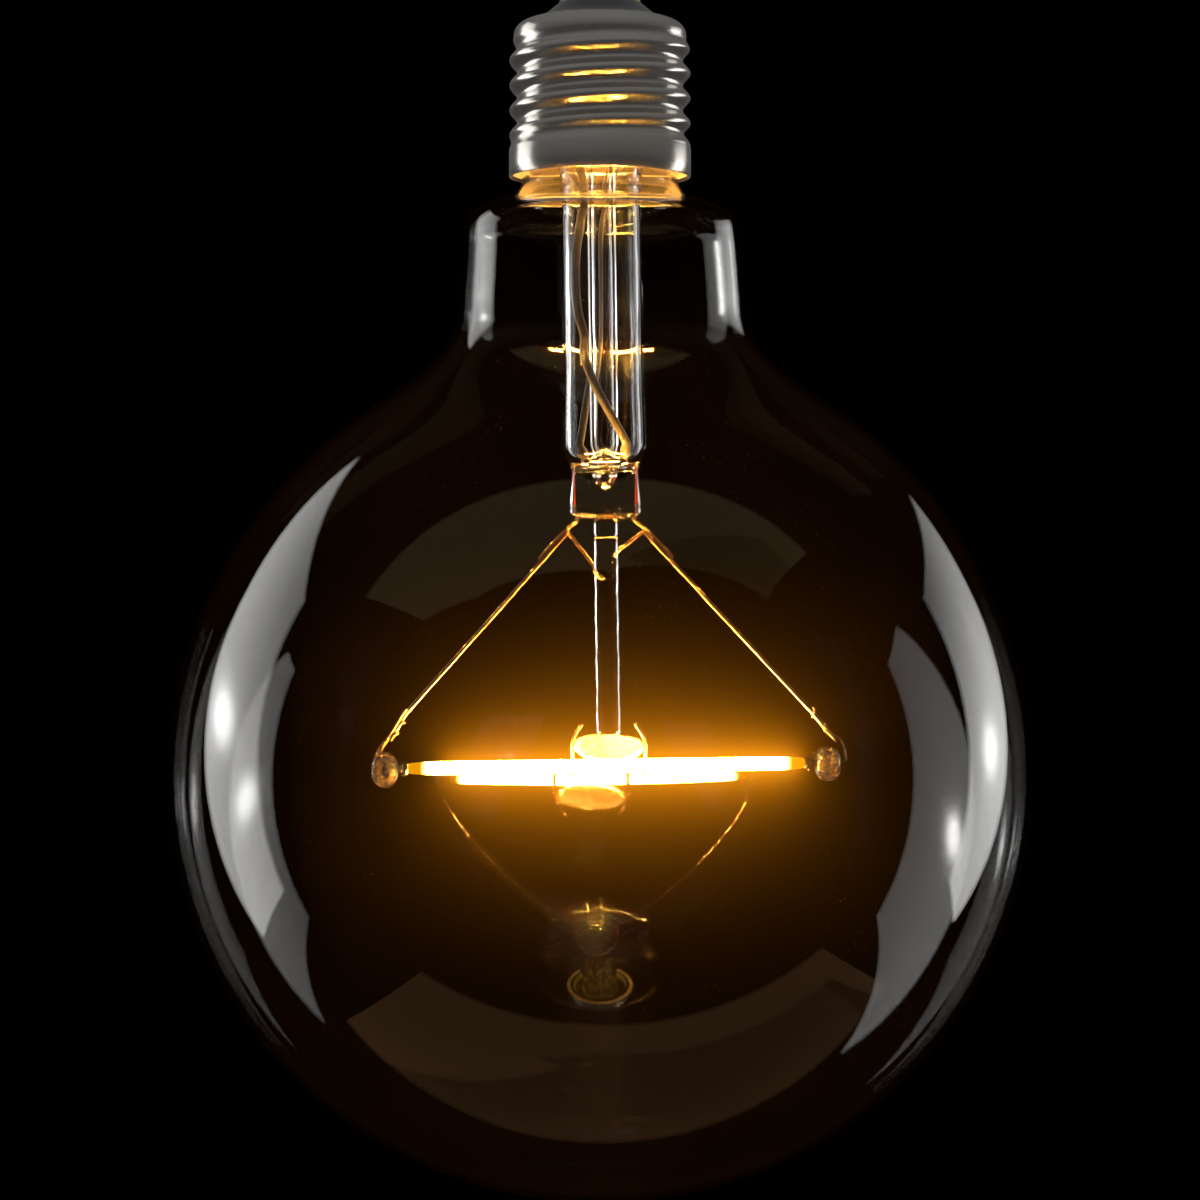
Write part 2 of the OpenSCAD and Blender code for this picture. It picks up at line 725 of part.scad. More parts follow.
// The black glass insulator that closes the cap, pierced for the centre wire.
module cap_insulator() {
    color([0.06, 0.06, 0.07]) difference() {
        rotate_extrude() polygon(concat(
            [[0, 20.6], [10.6, 20.6]],
            cubic_run([[10.6, 20.6], [11, 21.6], [10, 22.4], [9.3, 22.5]], 4),
            [[9.2, 22.9]],
            cubic_run([[9.2, 22.9], [8, 23.4], [7, 24.4], [6, 25.2]], 6),
            [[0, 25.2]]
        ));
        translate([0, 0, 20]) cylinder(h = 6, r = 0.9);
        translate([0, 0, 20]) cylinder(h = 2.2, r = 3);
    }
}

// The centre contact: a brass plate with a rounded edge and an eyelet.
module contact_plate() {
    color([0.8, 0.66, 0.36]) rotate_extrude() polygon([
        [0.9, 25.2], [5.7, 25.2], [5.9, 25.35], [5.9, 25.55], [5.6, 25.75], [1.3, 25.75], [0.9, 25.6]
    ]);
}

// The bead of solder on the contact, worn flat at its tip.
module contact_solder() {
    color([0.7, 0.7, 0.7]) difference() {
        rotate_extrude() polygon(concat(
            [[0, 24.8], [0.9, 24.8], [0.9, 25.6], [1.3, 25.75], [3.1, 25.75]],
            cubic_run([[3.1, 25.75], [3, 26.6], [2, cap_height], [1.2, cap_height]], 8),
            [[0, cap_height]]
        ));
        straight([0, 0, 24], [0, 0, 26], lead_d);
    }
}

// The circuit board, standing across the cap behind the exhaust tube's tip.
module driver_board() {
    color([0.12, 0.38, 0.2]) difference() {
        translate([-7.2, board_y, 9.6]) cube([14.4, board_t, 10.6]);
        for (x = [-5.2, -2.7]) straight([x, 1, 18.6], [x, 4, 18.6], lead_d);
        straight([5.6, 1, 10.6], [5.6, 4, 10.6], lead_d);
    }
}

// The bridge rectifier: a moulded block with two gull-wing legs on each side.
module bridge_rectifier() {
    color([0.1, 0.1, 0.11]) {
        translate([1.6, board_y - 1.5, 11.9]) cube([4, 1.4, 4.7]);
        for (x = [0.9, 5.6], z = [12.6, 15.3]) translate([x, board_y - 0.35, z]) cube([0.7, 0.35, 0.6]);
    }
}

// The smoothing capacitor: a can with a rolled neck and two legs through the board.
module smoothing_capacitor() {
    r = 3.95;
    color([0.13, 0.14, 0.2]) {
        translate([-3.95, -3.2, 0]) rotate_extrude() polygon([
            [0, 10.2], [r - 0.4, 10.2], [r, 10.6], [r, 17], [r - 0.35, 17.35], [r - 0.35, 17.7],
            [r, 18.05], [r, 18.9], [r - 0.3, 19.2], [0, 19.2]
        ]);
        for (x = [-5.2, -2.7]) bent([
            [x, -3.2, 19.1], [x, -3.2, 19.7], [x, 0.2, 19.7], [x, 1.2, 18.6], [x, 3.4, 18.6]
        ], lead_d);
    }
}

// The driver chip on the back of the board, with four legs on each side.
module driver_chip() {
    back = board_y + board_t;
    color([0.1, 0.1, 0.11]) {
        translate([-2.4, back + 0.1, 12.8]) cube([3.9, 1.4, 4.9]);
        for (x = [-3.4, 1.5], i = [0:3])
            translate([x, back, 13.2 + 1.2 * i]) cube([1, 0.25, 0.42]);
    }
}

// The fusible resistor between the contact and the board, on its two leads.
module fusible_resistor() {
    color([0.3, 0.5, 0.62]) {
        translate([resistor_x, resistor_y, 0]) rotate_extrude() polygon([
            [0, 12], [1, 12], [1.3, 12.3], [1.3, 13.4], [1.15, 13.8], [1.15, 16.2], [1.3, 16.6],
            [1.3, 17.7], [1, 18], [0, 18]
        ]);
        bent([
            [resistor_x, resistor_y, 17.8], [resistor_x, resistor_y, 19.2],
            [1.2, -0.4, 20], [0, 0, 21], [0, 0, 26]
        ], lead_d);
        bent([
            [resistor_x, resistor_y, 12.2], [resistor_x, resistor_y, 10.6], [resistor_x, 3.4, 10.6]
        ], lead_d);
    }
}

// The heat-shrink sleeve over the resistor.
module resistor_sleeve() {
    color([0.9, 0.9, 0.88]) translate([resistor_x, resistor_y, 0]) rotate_extrude() polygon([
        [1.32, 12.4], [1.55, 12.4], [1.55, 17.6], [1.32, 17.6]
    ]);
}

// The side wire, from the board over the glass collar and down inside the plain band.
module side_wire_path(d) {
    y = board_y + board_t / 2;
    function out(r) = -sqrt(r * r - y * y);
    swept(smooth_run([
        [-7.2, y, 10.8], [out(10.2), y, 9.8], [out(11.48), y, 8], [out(11.48), y, band_h + 0.4],
        [out(12.3), y, band_h - 1.2], [out(12.6), y, 0.8]
    ], 3), d);
}
module side_wire() {
    color(COPPER) side_wire_path(0.32);
}

globe_envelope();
stem_tube();
exhaust_tube();
glass_rod();
support_button();
hook(LEFT);  // left_hook
hook(RIGHT);  // right_hook
support_wire(LEFT);  // left_support_wire
support_wire(RIGHT);  // right_support_wire
inner_lead(LEFT);  // left_inner_lead
inner_lead(RIGHT);  // right_inner_lead
seal_wire(LEFT);  // left_seal_wire
seal_wire(RIGHT);  // right_seal_wire
outer_lead(LEFT);  // left_outer_lead
outer_lead(RIGHT);  // right_outer_lead
lead_sleeve(LEFT);  // left_lead_sleeve
lead_sleeve(RIGHT);  // right_lead_sleeve
glass_bead(LEFT);  // left_glass_bead
glass_bead(RIGHT);  // right_glass_bead
bead_wire(LEFT);  // left_bead_wire
bead_wire(RIGHT);  // right_bead_wire
filament_strip();
filament_chips();
filament_coat();
filament_lug(LEFT);  // left_filament_lug
filament_lug(RIGHT);  // right_filament_lug
screw_shell();
cap_cement();
cap_insulator();
contact_plate();
contact_solder();
driver_board();
bridge_rectifier();
smoothing_capacitor();
driver_chip();
fusible_resistor();
resistor_sleeve();
side_wire();
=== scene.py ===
"""The looks of a clear glass globe lamp with one straight filament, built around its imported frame.

Lengths are in millimetres on the frame's own axes, and become metres when a mesh is made. Heights
named h are above the globe's widest circle. The camera looks along +Y, with +X to its right.
"""

import logging
import math
from dataclasses import dataclass, field
from enum import Enum
from typing import Any, Callable, Sequence

import bpy
import numpy as np
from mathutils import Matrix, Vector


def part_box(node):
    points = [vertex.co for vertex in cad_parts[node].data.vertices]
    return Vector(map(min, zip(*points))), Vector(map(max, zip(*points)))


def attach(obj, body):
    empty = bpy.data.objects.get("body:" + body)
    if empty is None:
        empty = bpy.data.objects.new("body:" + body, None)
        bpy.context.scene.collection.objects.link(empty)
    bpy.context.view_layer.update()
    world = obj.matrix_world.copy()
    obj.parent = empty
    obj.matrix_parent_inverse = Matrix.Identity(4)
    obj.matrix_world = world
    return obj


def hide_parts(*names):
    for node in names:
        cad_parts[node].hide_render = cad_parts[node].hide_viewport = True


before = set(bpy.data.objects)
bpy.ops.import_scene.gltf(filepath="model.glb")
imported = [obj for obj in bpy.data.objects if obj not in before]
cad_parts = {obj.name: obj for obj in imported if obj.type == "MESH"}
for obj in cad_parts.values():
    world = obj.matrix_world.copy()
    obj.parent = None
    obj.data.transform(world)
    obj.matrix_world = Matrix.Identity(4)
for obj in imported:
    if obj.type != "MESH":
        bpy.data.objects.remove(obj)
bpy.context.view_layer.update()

LOG = logging.getLogger("globe_lamp")
METRES = 0.001
BODY = "root"

Vec = Sequence[float]
Colour = tuple[float, float, float]


class Side(Enum):
    """The two sides of the lamp, as the camera sees them."""

    LEFT = -1
    RIGHT = 1

    @property
    def word(self) -> str:
        """The side's name, as the nodes have it."""
        return self.name.lower()


def node_box(node: str) -> tuple[np.ndarray, np.ndarray]:
    """Lowest and highest corner of a node, in millimetres."""
    low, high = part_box(node)
    return np.array(low) / METRES, np.array(high) / METRES


GLOBE_LOW, GLOBE_HIGH = node_box("globe_envelope")
GLOBE_R = (GLOBE_HIGH[0] - GLOBE_LOW[0]) / 2
GLOBE_DROP = 61.4
EQUATOR = GLOBE_LOW[2] + GLOBE_DROP
COLLAR_TOP = 8.0
STEM_LEAN = math.radians(0.8)
PRESS_FOOT_H = 37.1
SEAL_X = 4.1
SEAL_TOP_H = 44.7
FILAMENT_H = 1.1
FILAMENT_SHIFT = -0.4
SUPPORT_D = 0.6
WIRE_SIDES = 14


def at(x: float, y: float, h: float) -> np.ndarray:
    """A point from its side, its depth and its height above the globe's widest circle."""
    return np.array([x, y, EQUATOR + h])


def unit(way: np.ndarray) -> np.ndarray:
    """The same direction with a length of 1."""
    return way / np.linalg.norm(way)


def full_turn(sides: int) -> np.ndarray:
    """The angles of a ring's points, in radians."""
    return np.linspace(0, 2 * np.pi, sides, endpoint=False)


def boxed(wave: np.ndarray, power: float) -> np.ndarray:
    """A sine or cosine raised to a power with its sign kept, which squares a round form off."""
    return np.sign(wave) * np.abs(wave) ** power


def leaned(points: np.ndarray) -> np.ndarray:
    """Points turned with the stem, which leans about its seal in the collar.

    Args:
        points: One point a row.

    Returns:
        The turned points.
    """
    c, s = math.cos(STEM_LEAN), math.sin(STEM_LEAN)
    x, y, z = points[:, 0], points[:, 1], points[:, 2] - COLLAR_TOP
    return np.stack([c * x - s * z, y, s * x + c * z + COLLAR_TOP], 1)


def cubic(p: Sequence[Vec], steps: int) -> list[np.ndarray]:
    """A cubic curve through its four control points, without its first point.

    Args:
        p: The control points.
        steps: How many points to make.

    Returns:
        The points.
    """
    a, b, c, d = (np.array(v, float) for v in p)
    run = [i / steps for i in range(1, steps + 1)]
    return [(1 - t) ** 3 * a + 3 * t * (1 - t) ** 2 * b + 3 * t * t * (1 - t) * c + t**3 * d for t in run]


def smooth_run(points: Sequence[Vec], steps: int) -> np.ndarray:
    """A smooth run through given points.

    Args:
        points: The points.
        steps: How many steps to make between neighbours.

    Returns:
        The run, one point a row.
    """
    p = [np.array(v, float) for v in points]
    run = []
    for i in range(len(p) - 1):
        a, b, c, d = p[max(i - 1, 0)], p[i], p[i + 1], p[min(i + 2, len(p) - 1)]
        for k in range(steps):
            t = k / steps
            square = (2 * a - 5 * b + 4 * c - d) * t * t
            run.append(0.5 * (2 * b + (c - a) * t + square + (3 * b - a - 3 * c + d) * t**3))
    run.append(p[-1])
    return np.array(run)


class Skin:
    """The points and faces of a mesh that is being made."""

    def __init__(self) -> None:
        """Starts with no points."""
        self.points: list[np.ndarray] = []
        self.faces: list[tuple[int, ...]] = []
        self.count = 0

    def ring(self, points: np.ndarray) -> list[int]:
        """Adds a ring of points.

        Args:
            points: One point a row. A ring of one point is a pole.

        Returns:
            The numbers of the new points.
        """
        self.points.append(np.asarray(points, float).reshape(-1, 3))
        self.count += len(self.points[-1])
        return list(range(self.count - len(self.points[-1]), self.count))

    def bridge(self, a: list[int], b: list[int]) -> None:
        """Joins two rings of the same length, or a ring and a pole.

        Args:
            a: The first ring.
            b: The second ring.
        """
        size = max(len(a), len(b))
        for i in range(size):
            j = (i + 1) % size
            if len(a) == 1:
                self.faces.append((a[0], b[j], b[i]))
            elif len(b) == 1:
                self.faces.append((a[i], a[j], b[0]))
            else:
                self.faces.append((a[i], a[j], b[j], b[i]))

    def tube(self, rings: Sequence[np.ndarray], closed: bool = False) -> None:
        """Adds a run of rings, each joined to the next.

        Args:
            rings: The rings, where one point is a pole.
            closed: True if the last ring is joined to the first.
        """
        made = [self.ring(r) for r in rings]
        for a, b in zip(made, made[1:]):
            self.bridge(a, b)
        if closed:
            self.bridge(made[-1], made[0])

    def piece(self, name: str) -> bpy.types.Object:
        """Makes the object, in metres, with smooth faces.

        Args:
            name: The piece's name.

        Returns:
            The object, in the scene.
        """
        mesh = bpy.data.meshes.new(name)
        mesh.from_pydata((np.concatenate(self.points) * METRES).tolist(), [], self.faces)
        mesh.polygons.foreach_set("use_smooth", [True] * len(mesh.polygons))
        made = bpy.data.objects.new(name, mesh)
        bpy.context.scene.collection.objects.link(made)
        return made


def circle(centre: Vec, r: float, sides: int) -> np.ndarray:
    """A level ring of points, or its centre alone where the radius is nothing.

    Args:
        centre: Its centre.
        r: Its radius.
        sides: How many points it has.

    Returns:
        The points, one a row.
    """
    if r < 1e-6:
        return np.array([centre], float)
    turn = full_turn(sides)
    return np.array(centre) + r * np.stack([np.cos(turn), np.sin(turn), 0 * turn], 1)


def swept_rings(route: np.ndarray, r: float, sides: int) -> list[np.ndarray]:
    """Rings square to a route, carried along it without twist.

    Args:
        route: The route, one point a row.
        r: Their radius.
        sides: How many sides a ring has.

    Returns:
        The rings.
    """
    way = np.gradient(route, axis=0)
    way /= np.linalg.norm(way, axis=1)[:, None]
    side = np.array([0.2, 1.0, 0.1])
    turn = full_turn(sides)
    rings = []
    for p, w in zip(route, way):
        side = unit(side - (side @ w) * w)
        rings.append(p + r * (np.outer(np.cos(turn), side) + np.outer(np.sin(turn), np.cross(w, side))))
    return rings


def add_wire(skin: Skin, route: np.ndarray, d: float) -> None:
    """Adds a round wire with softly rounded ends, on the leaning stem, to a skin.

    Args:
        skin: The skin that takes it.
        route: Its route, one point a row.
        d: Its diameter.
    """
    r = d / 2
    start, end = unit(route[0] - route[1]), unit(route[-1] - route[-2])
    body = swept_rings(route, r, WIRE_SIDES)
    caps = ((0.35, 0.92), (0.62, 0.7))
    front = [route[0] + reach * r * start + share * (body[0] - route[0]) for reach, share in caps]
    back = [route[-1] + reach * r * end + share * (body[-1] - route[-1]) for reach, share in caps]
    rings = [route[:1] + 0.75 * r * start, *reversed(front), *body, *back, route[-1:] + 0.75 * r * end]
    skin.tube([leaned(v) for v in rings])


def wire(route: np.ndarray, d: float) -> Skin:
    """The skin of one wire, from its route and its diameter."""
    skin = Skin()
    add_wire(skin, route, d)
    return skin


def operator(operation: str, swapped: bool = False) -> Callable[["Value", Any], "Value"]:
    """A method of two values that adds one Math node.

    Args:
        operation: The node's operation.
        swapped: True if the other value comes first.

    Returns:
        The method.
    """

    def method(value: "Value", other: Any) -> "Value":
        """The node's result for the value and the other."""
        return value.maths(operation, other, value) if swapped else value.maths(operation, value, other)

    return method


class Value:
    """A shader value. A sum, a product or a power of it adds its own Math node."""

    def __init__(self, tree: "Tree", socket: bpy.types.NodeSocket) -> None:
        """Wraps an output of a node in the tree."""
        self.tree = tree
        self.socket = socket

    def maths(self, operation: str, *values: Any) -> "Value":
        """Adds one Math node and gives its result."""
        made = self.tree.node("ShaderNodeMath", {"operation": operation}, dict(enumerate(values)))
        return Value(self.tree, made.outputs[0])

    __add__ = operator("ADD")
    __radd__ = operator("ADD", swapped=True)
    __sub__ = operator("SUBTRACT")
    __rsub__ = operator("SUBTRACT", swapped=True)
    __mul__ = operator("MULTIPLY")
    __rmul__ = operator("MULTIPLY", swapped=True)
    __truediv__ = operator("DIVIDE")
    __rtruediv__ = operator("DIVIDE", swapped=True)
    __pow__ = operator("POWER")
    largest = operator("MAXIMUM")
    smallest = operator("MINIMUM")

    def root(self) -> "Value":
        """The square root."""
        return self.maths("SQRT", self)

    def step(self, low: float, high: float) -> "Value":
        """A smooth step from 0 at low to 1 at high."""
        ends = {"Value": self, "From Min": low, "From Max": high}
        made = self.tree.node("ShaderNodeMapRange", {"interpolation_type": "SMOOTHSTEP"}, ends)
        return Value(self.tree, made.outputs[0])


class Tree:
    """A node tree that is being written."""

    def __init__(self, owner: Any) -> None:
        """Empties the owner's node tree.

        Args:
            owner: A material or a world.
        """
        owner.use_nodes = True
        self.nodes = owner.node_tree.nodes
        self.links = owner.node_tree.links
        self.nodes.clear()

    def node(self, kind: str, settings: dict[str, Any], values: dict[Any, Any]) -> bpy.types.Node:
        """Adds a node, sets it, and feeds its sockets.

        Args:
            kind: The node's type.
            settings: Its own settings. The stops of a ramp are pairs of a place and a colour.
            values: What each input socket takes, by its name or its number.

        Returns:
            The node.
        """
        made = self.nodes.new(kind)
        for name, setting in settings.items():
            if name == "stops":
                self._fill(made.color_ramp.elements, setting)
            else:
                setattr(made, name, setting)
        for key, value in values.items():
            self.feed(made.inputs[key], value)
        return made

    @staticmethod
    def _fill(elements: Any, stops: Sequence[tuple[float, Sequence[float]]]) -> None:
        """Gives a ramp its stops."""
        while len(elements) < len(stops):
            elements.new(0.5)
        for element, (place, colour) in zip(elements, stops):
            element.position = place
            element.color = (*colour, 1.0)

    def feed(self, socket: bpy.types.NodeSocket, value: Any) -> None:
        """Links a value to a socket, or sets the socket to a plain number or colour.

        Args:
            socket: The input socket.
            value: A value, an output socket, a number, a colour or a vector.
        """
        if isinstance(value, Value):
            self.links.new(value.socket, socket)
        elif isinstance(value, bpy.types.NodeSocket):
            self.links.new(value, socket)
        elif isinstance(value, tuple) and socket.type == "RGBA":
            socket.default_value = (*value, 1.0)
        else:
            socket.default_value = value

    def value(self, node: bpy.types.Node, output: str | int = 0) -> Value:
        """One output of a node, ready for sums."""
        return Value(self, node.outputs[output])

    def place(self) -> bpy.types.NodeSocket:
        """The point that is shaded, in metres."""
        return self.node("ShaderNodeTexCoord", {}, {}).outputs["Object"]

    def axes(self) -> tuple[Value, Value, Value]:
        """The point that is shaded, as three values in metres."""
        parts = self.node("ShaderNodeSeparateXYZ", {}, {0: self.place()})
        return self.value(parts, 0), self.value(parts, 1), self.value(parts, 2)

    def noise(self, scale: float, detail: float = 2.0, stretch: Vec = (1, 1, 1)) -> Value:
        """Smooth noise around 0.5.

        Args:
            scale: Waves in a metre.
            detail: How many finer layers it has.
            stretch: How the point is scaled first, along each axis.

        Returns:
            The noise.
        """
        moved = self.node("ShaderNodeMapping", {}, {"Vector": self.place(), "Scale": tuple(stretch)})
        sockets = {"Vector": moved.outputs[0], "Scale": scale, "Detail": detail}
        return self.value(self.node("ShaderNodeTexNoise", {}, sockets))

    def specks(self, scale: float, size: float) -> Value:
        """Small round specks, 1 at their middle, from the cells in a metre and a speck's share of a cell."""
        made = self.node("ShaderNodeTexVoronoi", {}, {"Vector": self.place(), "Scale": scale})
        return 1 - self.value(made, "Distance").step(0.4 * size, size)

    def ramp(self, factor: Value, stops: Sequence[tuple[float, Colour]]) -> bpy.types.NodeSocket:
        """A colour from a ramp, at the place that the factor says."""
        return self.node("ShaderNodeValToRGB", {"stops": stops}, {"Fac": factor}).outputs[0]

    def bump(self, height: Value, strength: float, distance: float) -> bpy.types.NodeSocket:
        """A bumped normal. The distance is what a height of 1 stands for, in metres."""
        sockets = {"Height": height, "Strength": strength, "Distance": distance}
        return self.node("ShaderNodeBump", {}, sockets).outputs[0]

    def shader(self, kind: str, **values: Any) -> bpy.types.NodeSocket:
        """A shader of one kind, with what each socket takes by its name, with _ for a space."""
        named = {key.replace("_", " "): value for key, value in values.items()}
        return self.node(f"ShaderNode{kind}", {}, named).outputs[0]

    def mixed(self, factor: Any, first: Any, second: Any) -> bpy.types.NodeSocket:
        """Two shaders, mixed, where the factor is the second one's share."""
        return self.node("ShaderNodeMixShader", {}, {0: factor, 1: first, 2: second}).outputs[0]

    def light_path(self, output: str) -> Value:
        """What kind of ray meets the surface, or how often it has turned."""
        return self.value(self.node("ShaderNodeLightPath", {}, {}), output)

    def clear(self) -> bpy.types.NodeSocket:
        """A shader that lets everything through."""
        return self.shader("BsdfTransparent", Color=(1.0, 1.0, 1.0))

    def lets_lamps_in(self, shader: bpy.types.NodeSocket) -> bpy.types.NodeSocket:
        """The same shader, through which lamps still light what is behind it."""
        return self.mixed(self.light_path("Is Shadow Ray"), shader, self.clear())

    def surface(self, shader: bpy.types.NodeSocket) -> None:
        """Sends a shader to the material's surface."""
        self.node("ShaderNodeOutputMaterial", {}, {"Surface": shader})


class Finish:
    """A finish that a piece can be given."""

    name = "finish"

    def write(self, tree: Tree) -> None:
        """Writes the finish's nodes."""
        raise NotImplementedError

    def material(self) -> bpy.types.Material:
        """The finish's material, made once."""
        name = f"{self.name}_finish"
        found = bpy.data.materials.get(name)
        if found is None:
            found = bpy.data.materials.new(name)
            self.write(Tree(found))
        return found


@dataclass(frozen=True)
class ClearGlass(Finish):
    """Clear glass with a thin film of dust."""

    name: str = "clear_glass"
    ior: float = 1.52
    film: float = 0.0006
    speck: float = 0.02
    waves: float = 0.0
    wave_scale: float = 90.0

    def write(self, tree: Tree) -> None:
        """Mixes a little dust into smooth glass."""
        values: dict[str, Any] = {}
        if self.waves:
            values["Normal"] = tree.bump(tree.noise(self.wave_scale, 2.0, (1, 1, 0.35)), 1.0, self.waves)
        glass = tree.shader(
            "BsdfPrincipled",
            Base_Color=(1.0, 1.0, 1.0),
            Roughness=0.0,
            IOR=self.ior,
            Transmission_Weight=1.0,
            **values,
        )
        patches = tree.noise(60, 4.0)
        specks = tree.specks(900, 0.13) * tree.noise(60, 1.0).step(0.48, 0.6)
        dust = tree.shader("BsdfDiffuse", Color=(0.5, 0.37, 0.17))
        dusty = tree.mixed(self.film * (0.5 + patches) + self.speck * specks, glass, dust)
        tree.surface(tree.lets_lamps_in(dusty))


@dataclass(frozen=True)
class MeltedGlass(Finish):
    """Glass that was melted into a drop, with soft swirls and a little haze."""

    name: str = "melted_glass"
    milk: float = 0.06
    swirl: float = 0.0003
    swirl_scale: float = 420.0
    colour: Colour = (0.95, 0.78, 0.55)

    def write(self, tree: Tree) -> None:
        """Mixes a thin haze into wavy glass."""
        swirls = tree.noise(self.swirl_scale, 3.0, (1, 1, 2.2))
        glass = tree.shader(
            "BsdfPrincipled",
            Base_Color=(1.0, 0.985, 0.96),
            Roughness=0.0,
            IOR=1.5,
            Transmission_Weight=1.0,
            Normal=tree.bump(swirls, 1.0, self.swirl),
        )
        haze = tree.shader("BsdfDiffuse", Color=self.colour)
        tree.surface(tree.lets_lamps_in(tree.mixed(self.milk * (0.4 + 1.2 * swirls), glass, haze)))


@dataclass(frozen=True)
class Haze(Finish):
    """The clouded inside of melted glass: milky wisps with sooty marks and clear gaps."""

    name: str = "haze"
    colour: Colour = (0.95, 0.72, 0.45)
    scale: float = 700.0
    stretch: tuple[float, float, float] = (1, 1, 1)
    gap: tuple[float, float] = (0.38, 0.5)
    soot: float = 0.5

    def write(self, tree: Tree) -> None:
        """Lets light through where the wisps are thin."""
        wisps = tree.noise(self.scale, 3.0, self.stretch)
        normal = tree.bump(wisps, 1.0, 0.0004)
        body = tree.shader("BsdfTranslucent", Color=self.colour, Normal=normal)
        front = tree.shader("BsdfDiffuse", Color=self.colour, Normal=normal)
        dark = tree.shader("BsdfDiffuse", Color=tuple(0.1 * c for c in self.colour))
        marks = tree.noise(1.9 * self.scale, 3.0).step(0.52, 0.66) * self.soot
        cloudy = tree.mixed(marks, tree.mixed(0.5, body, front), dark)
        tree.surface(tree.lets_lamps_in(tree.mixed(wisps.step(*self.gap), tree.clear(), cloudy)))


@dataclass(frozen=True)
class Metal(Finish):
    """Bare or plated metal with fine marks from drawing or handling."""

    name: str = "metal"
    colour: Colour = (0.66, 0.62, 0.56)
    roughness: float = 0.25
    spread: float = 0.12
    scale: float = 900.0
    stretch: tuple[float, float, float] = (1, 1, 1)
    tarnish: Colour = (0.42, 0.36, 0.3)
    relief: float = 0.00001

    def write(self, tree: Tree) -> None:
        """Varies the colour and the roughness with fine and broad noise."""
        fine = tree.noise(self.scale, 4.0, self.stretch)
        broad = tree.noise(self.scale / 14, 3.0)
        tree.surface(
            tree.shader(
                "BsdfPrincipled",
                Base_Color=tree.ramp(broad, [(0.35, self.colour), (0.75, self.tarnish)]),
                Metallic=1.0,
                Roughness=self.roughness + self.spread * (fine - 0.5) + self.spread * (broad - 0.5),
                Normal=tree.bump(fine, 0.6, self.relief),
            )
        )


@dataclass(frozen=True)
class Solid(Finish):
    """Paint, plastic, ceramic or cement with a fine grain."""

    name: str = "solid"
    colour: Colour = (0.5, 0.5, 0.5)
    shade: Colour = (0.4, 0.4, 0.4)
    roughness: float = 0.5
    scale: float = 1500.0
    relief: float = 0.00002
    coat: float = 0.0
    shine: float = 0.5

    def write(self, tree: Tree) -> None:
        """Varies the colour a little and gives the surface a grain."""
        grain = tree.noise(self.scale, 4.0)
        tree.surface(
            tree.shader(
                "BsdfPrincipled",
                Base_Color=tree.ramp(grain, [(0.3, self.shade), (0.7, self.colour)]),
                Roughness=self.roughness + 0.15 * (grain - 0.5),
                Coat_Weight=self.coat,
                Specular_IOR_Level=self.shine,
                Normal=tree.bump(grain, 0.5, self.relief),
            )
        )


@dataclass(frozen=True)
class Sleeving(Finish):
    """Tan insulating sleeving, fine-woven and a little glossy."""

    name: str = "lead_sleeving"
    colour: Colour = (0.27, 0.27, 0.24)
    shade: Colour = (0.18, 0.17, 0.15)

    def write(self, tree: Tree) -> None:
        """Lays a fine weave over a tan body."""
        weave = tree.noise(2600, 2.0, (1, 1, 0.25))
        broad = tree.noise(220, 3.0)
        tone = tree.ramp(0.5 * weave + 0.5 * broad, [(0.35, self.shade), (0.62, self.colour)])
        tree.surface(
            tree.shader(
                "BsdfPrincipled",
                Base_Color=tone,
                Roughness=0.25 + 0.15 * weave,
                Coat_Weight=1.0,
                Normal=tree.bump(weave, 0.5, 0.00003),
            )
        )


@dataclass(frozen=True)
class LitCoat(Finish):
    """The phosphor coat, lit from inside, that dims to amber over its ends."""

    name: str = "phosphor_coat"
    middle_x: float = 0.0
    half_length: float = 28.8
    strength: float = 900.0
    colour: Colour = (1.0, 0.42, 0.06)
    tip: Colour = (0.0009, 0.00036, 0.000003)

    def write(self, tree: Tree) -> None:
        """Fades the light over the last millimetres of the coat."""
        x, _, _ = tree.axes()
        offset = ((x - self.middle_x * METRES) * (x - self.middle_x * METRES)).root() / METRES
        inner = 1 - offset.step(self.half_length - 5.0, self.half_length - 1.5)
        sockets = {0: self.colour, "Scale": inner**2.2}
        lit = tree.node("ShaderNodeVectorMath", {"operation": "SCALE"}, sockets)
        glow = tree.node("ShaderNodeVectorMath", {"operation": "ADD"}, {0: lit.outputs[0], 1: self.tip})
        tree.surface(
            tree.shader(
                "BsdfPrincipled",
                Base_Color=(0.85, 0.42, 0.02),
                Roughness=0.45,
                Specular_IOR_Level=0.08,
                Emission_Color=glow.outputs[0],
                Emission_Strength=self.strength,
            )
        )


def report(piece: bpy.types.Object, words: str) -> None:
    """Logs a piece that is done, with what it is."""
    LOG.info("%s: %s, %d faces", piece.name, words, len(piece.data.polygons))


def place(skin: Skin, name: str, finish: Finish, slot: str, node: str) -> None:
    """Makes a piece from its skin and gives it its finish and its place in the frame.

    Args:
        skin: The skin.
        name: The piece's name.
        finish: Its finish.
        slot: A material slot's name, which is not used.
        node: The node that it stands for.
    """
    piece = skin.piece(name)
    piece.data.materials.append(finish.material())
    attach(piece, BODY)
    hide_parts(node)
    report(piece, finish.name)


def dress(node: str, finish: Finish) -> None:
    """Gives a node of the frame its finish.

    Args:
        node: The node's name.
        finish: Its finish.
    """
    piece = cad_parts[node]
    if not piece.material_slots:
        piece.data.materials.append(None)
    for slot in piece.material_slots:
        slot.material = finish.material()
    report(piece, finish.name)


def hide(piece: bpy.types.Object, *rays: str) -> None:
    """Keeps a piece of the studio out of sight of some kinds of rays."""
    for ray in rays:
        setattr(piece, f"visible_{ray}", False)


STEM_GLASS = ClearGlass("stem_glass", ior=1.5, film=0.0007, speck=0.0, waves=0.00012, wave_scale=160.0)


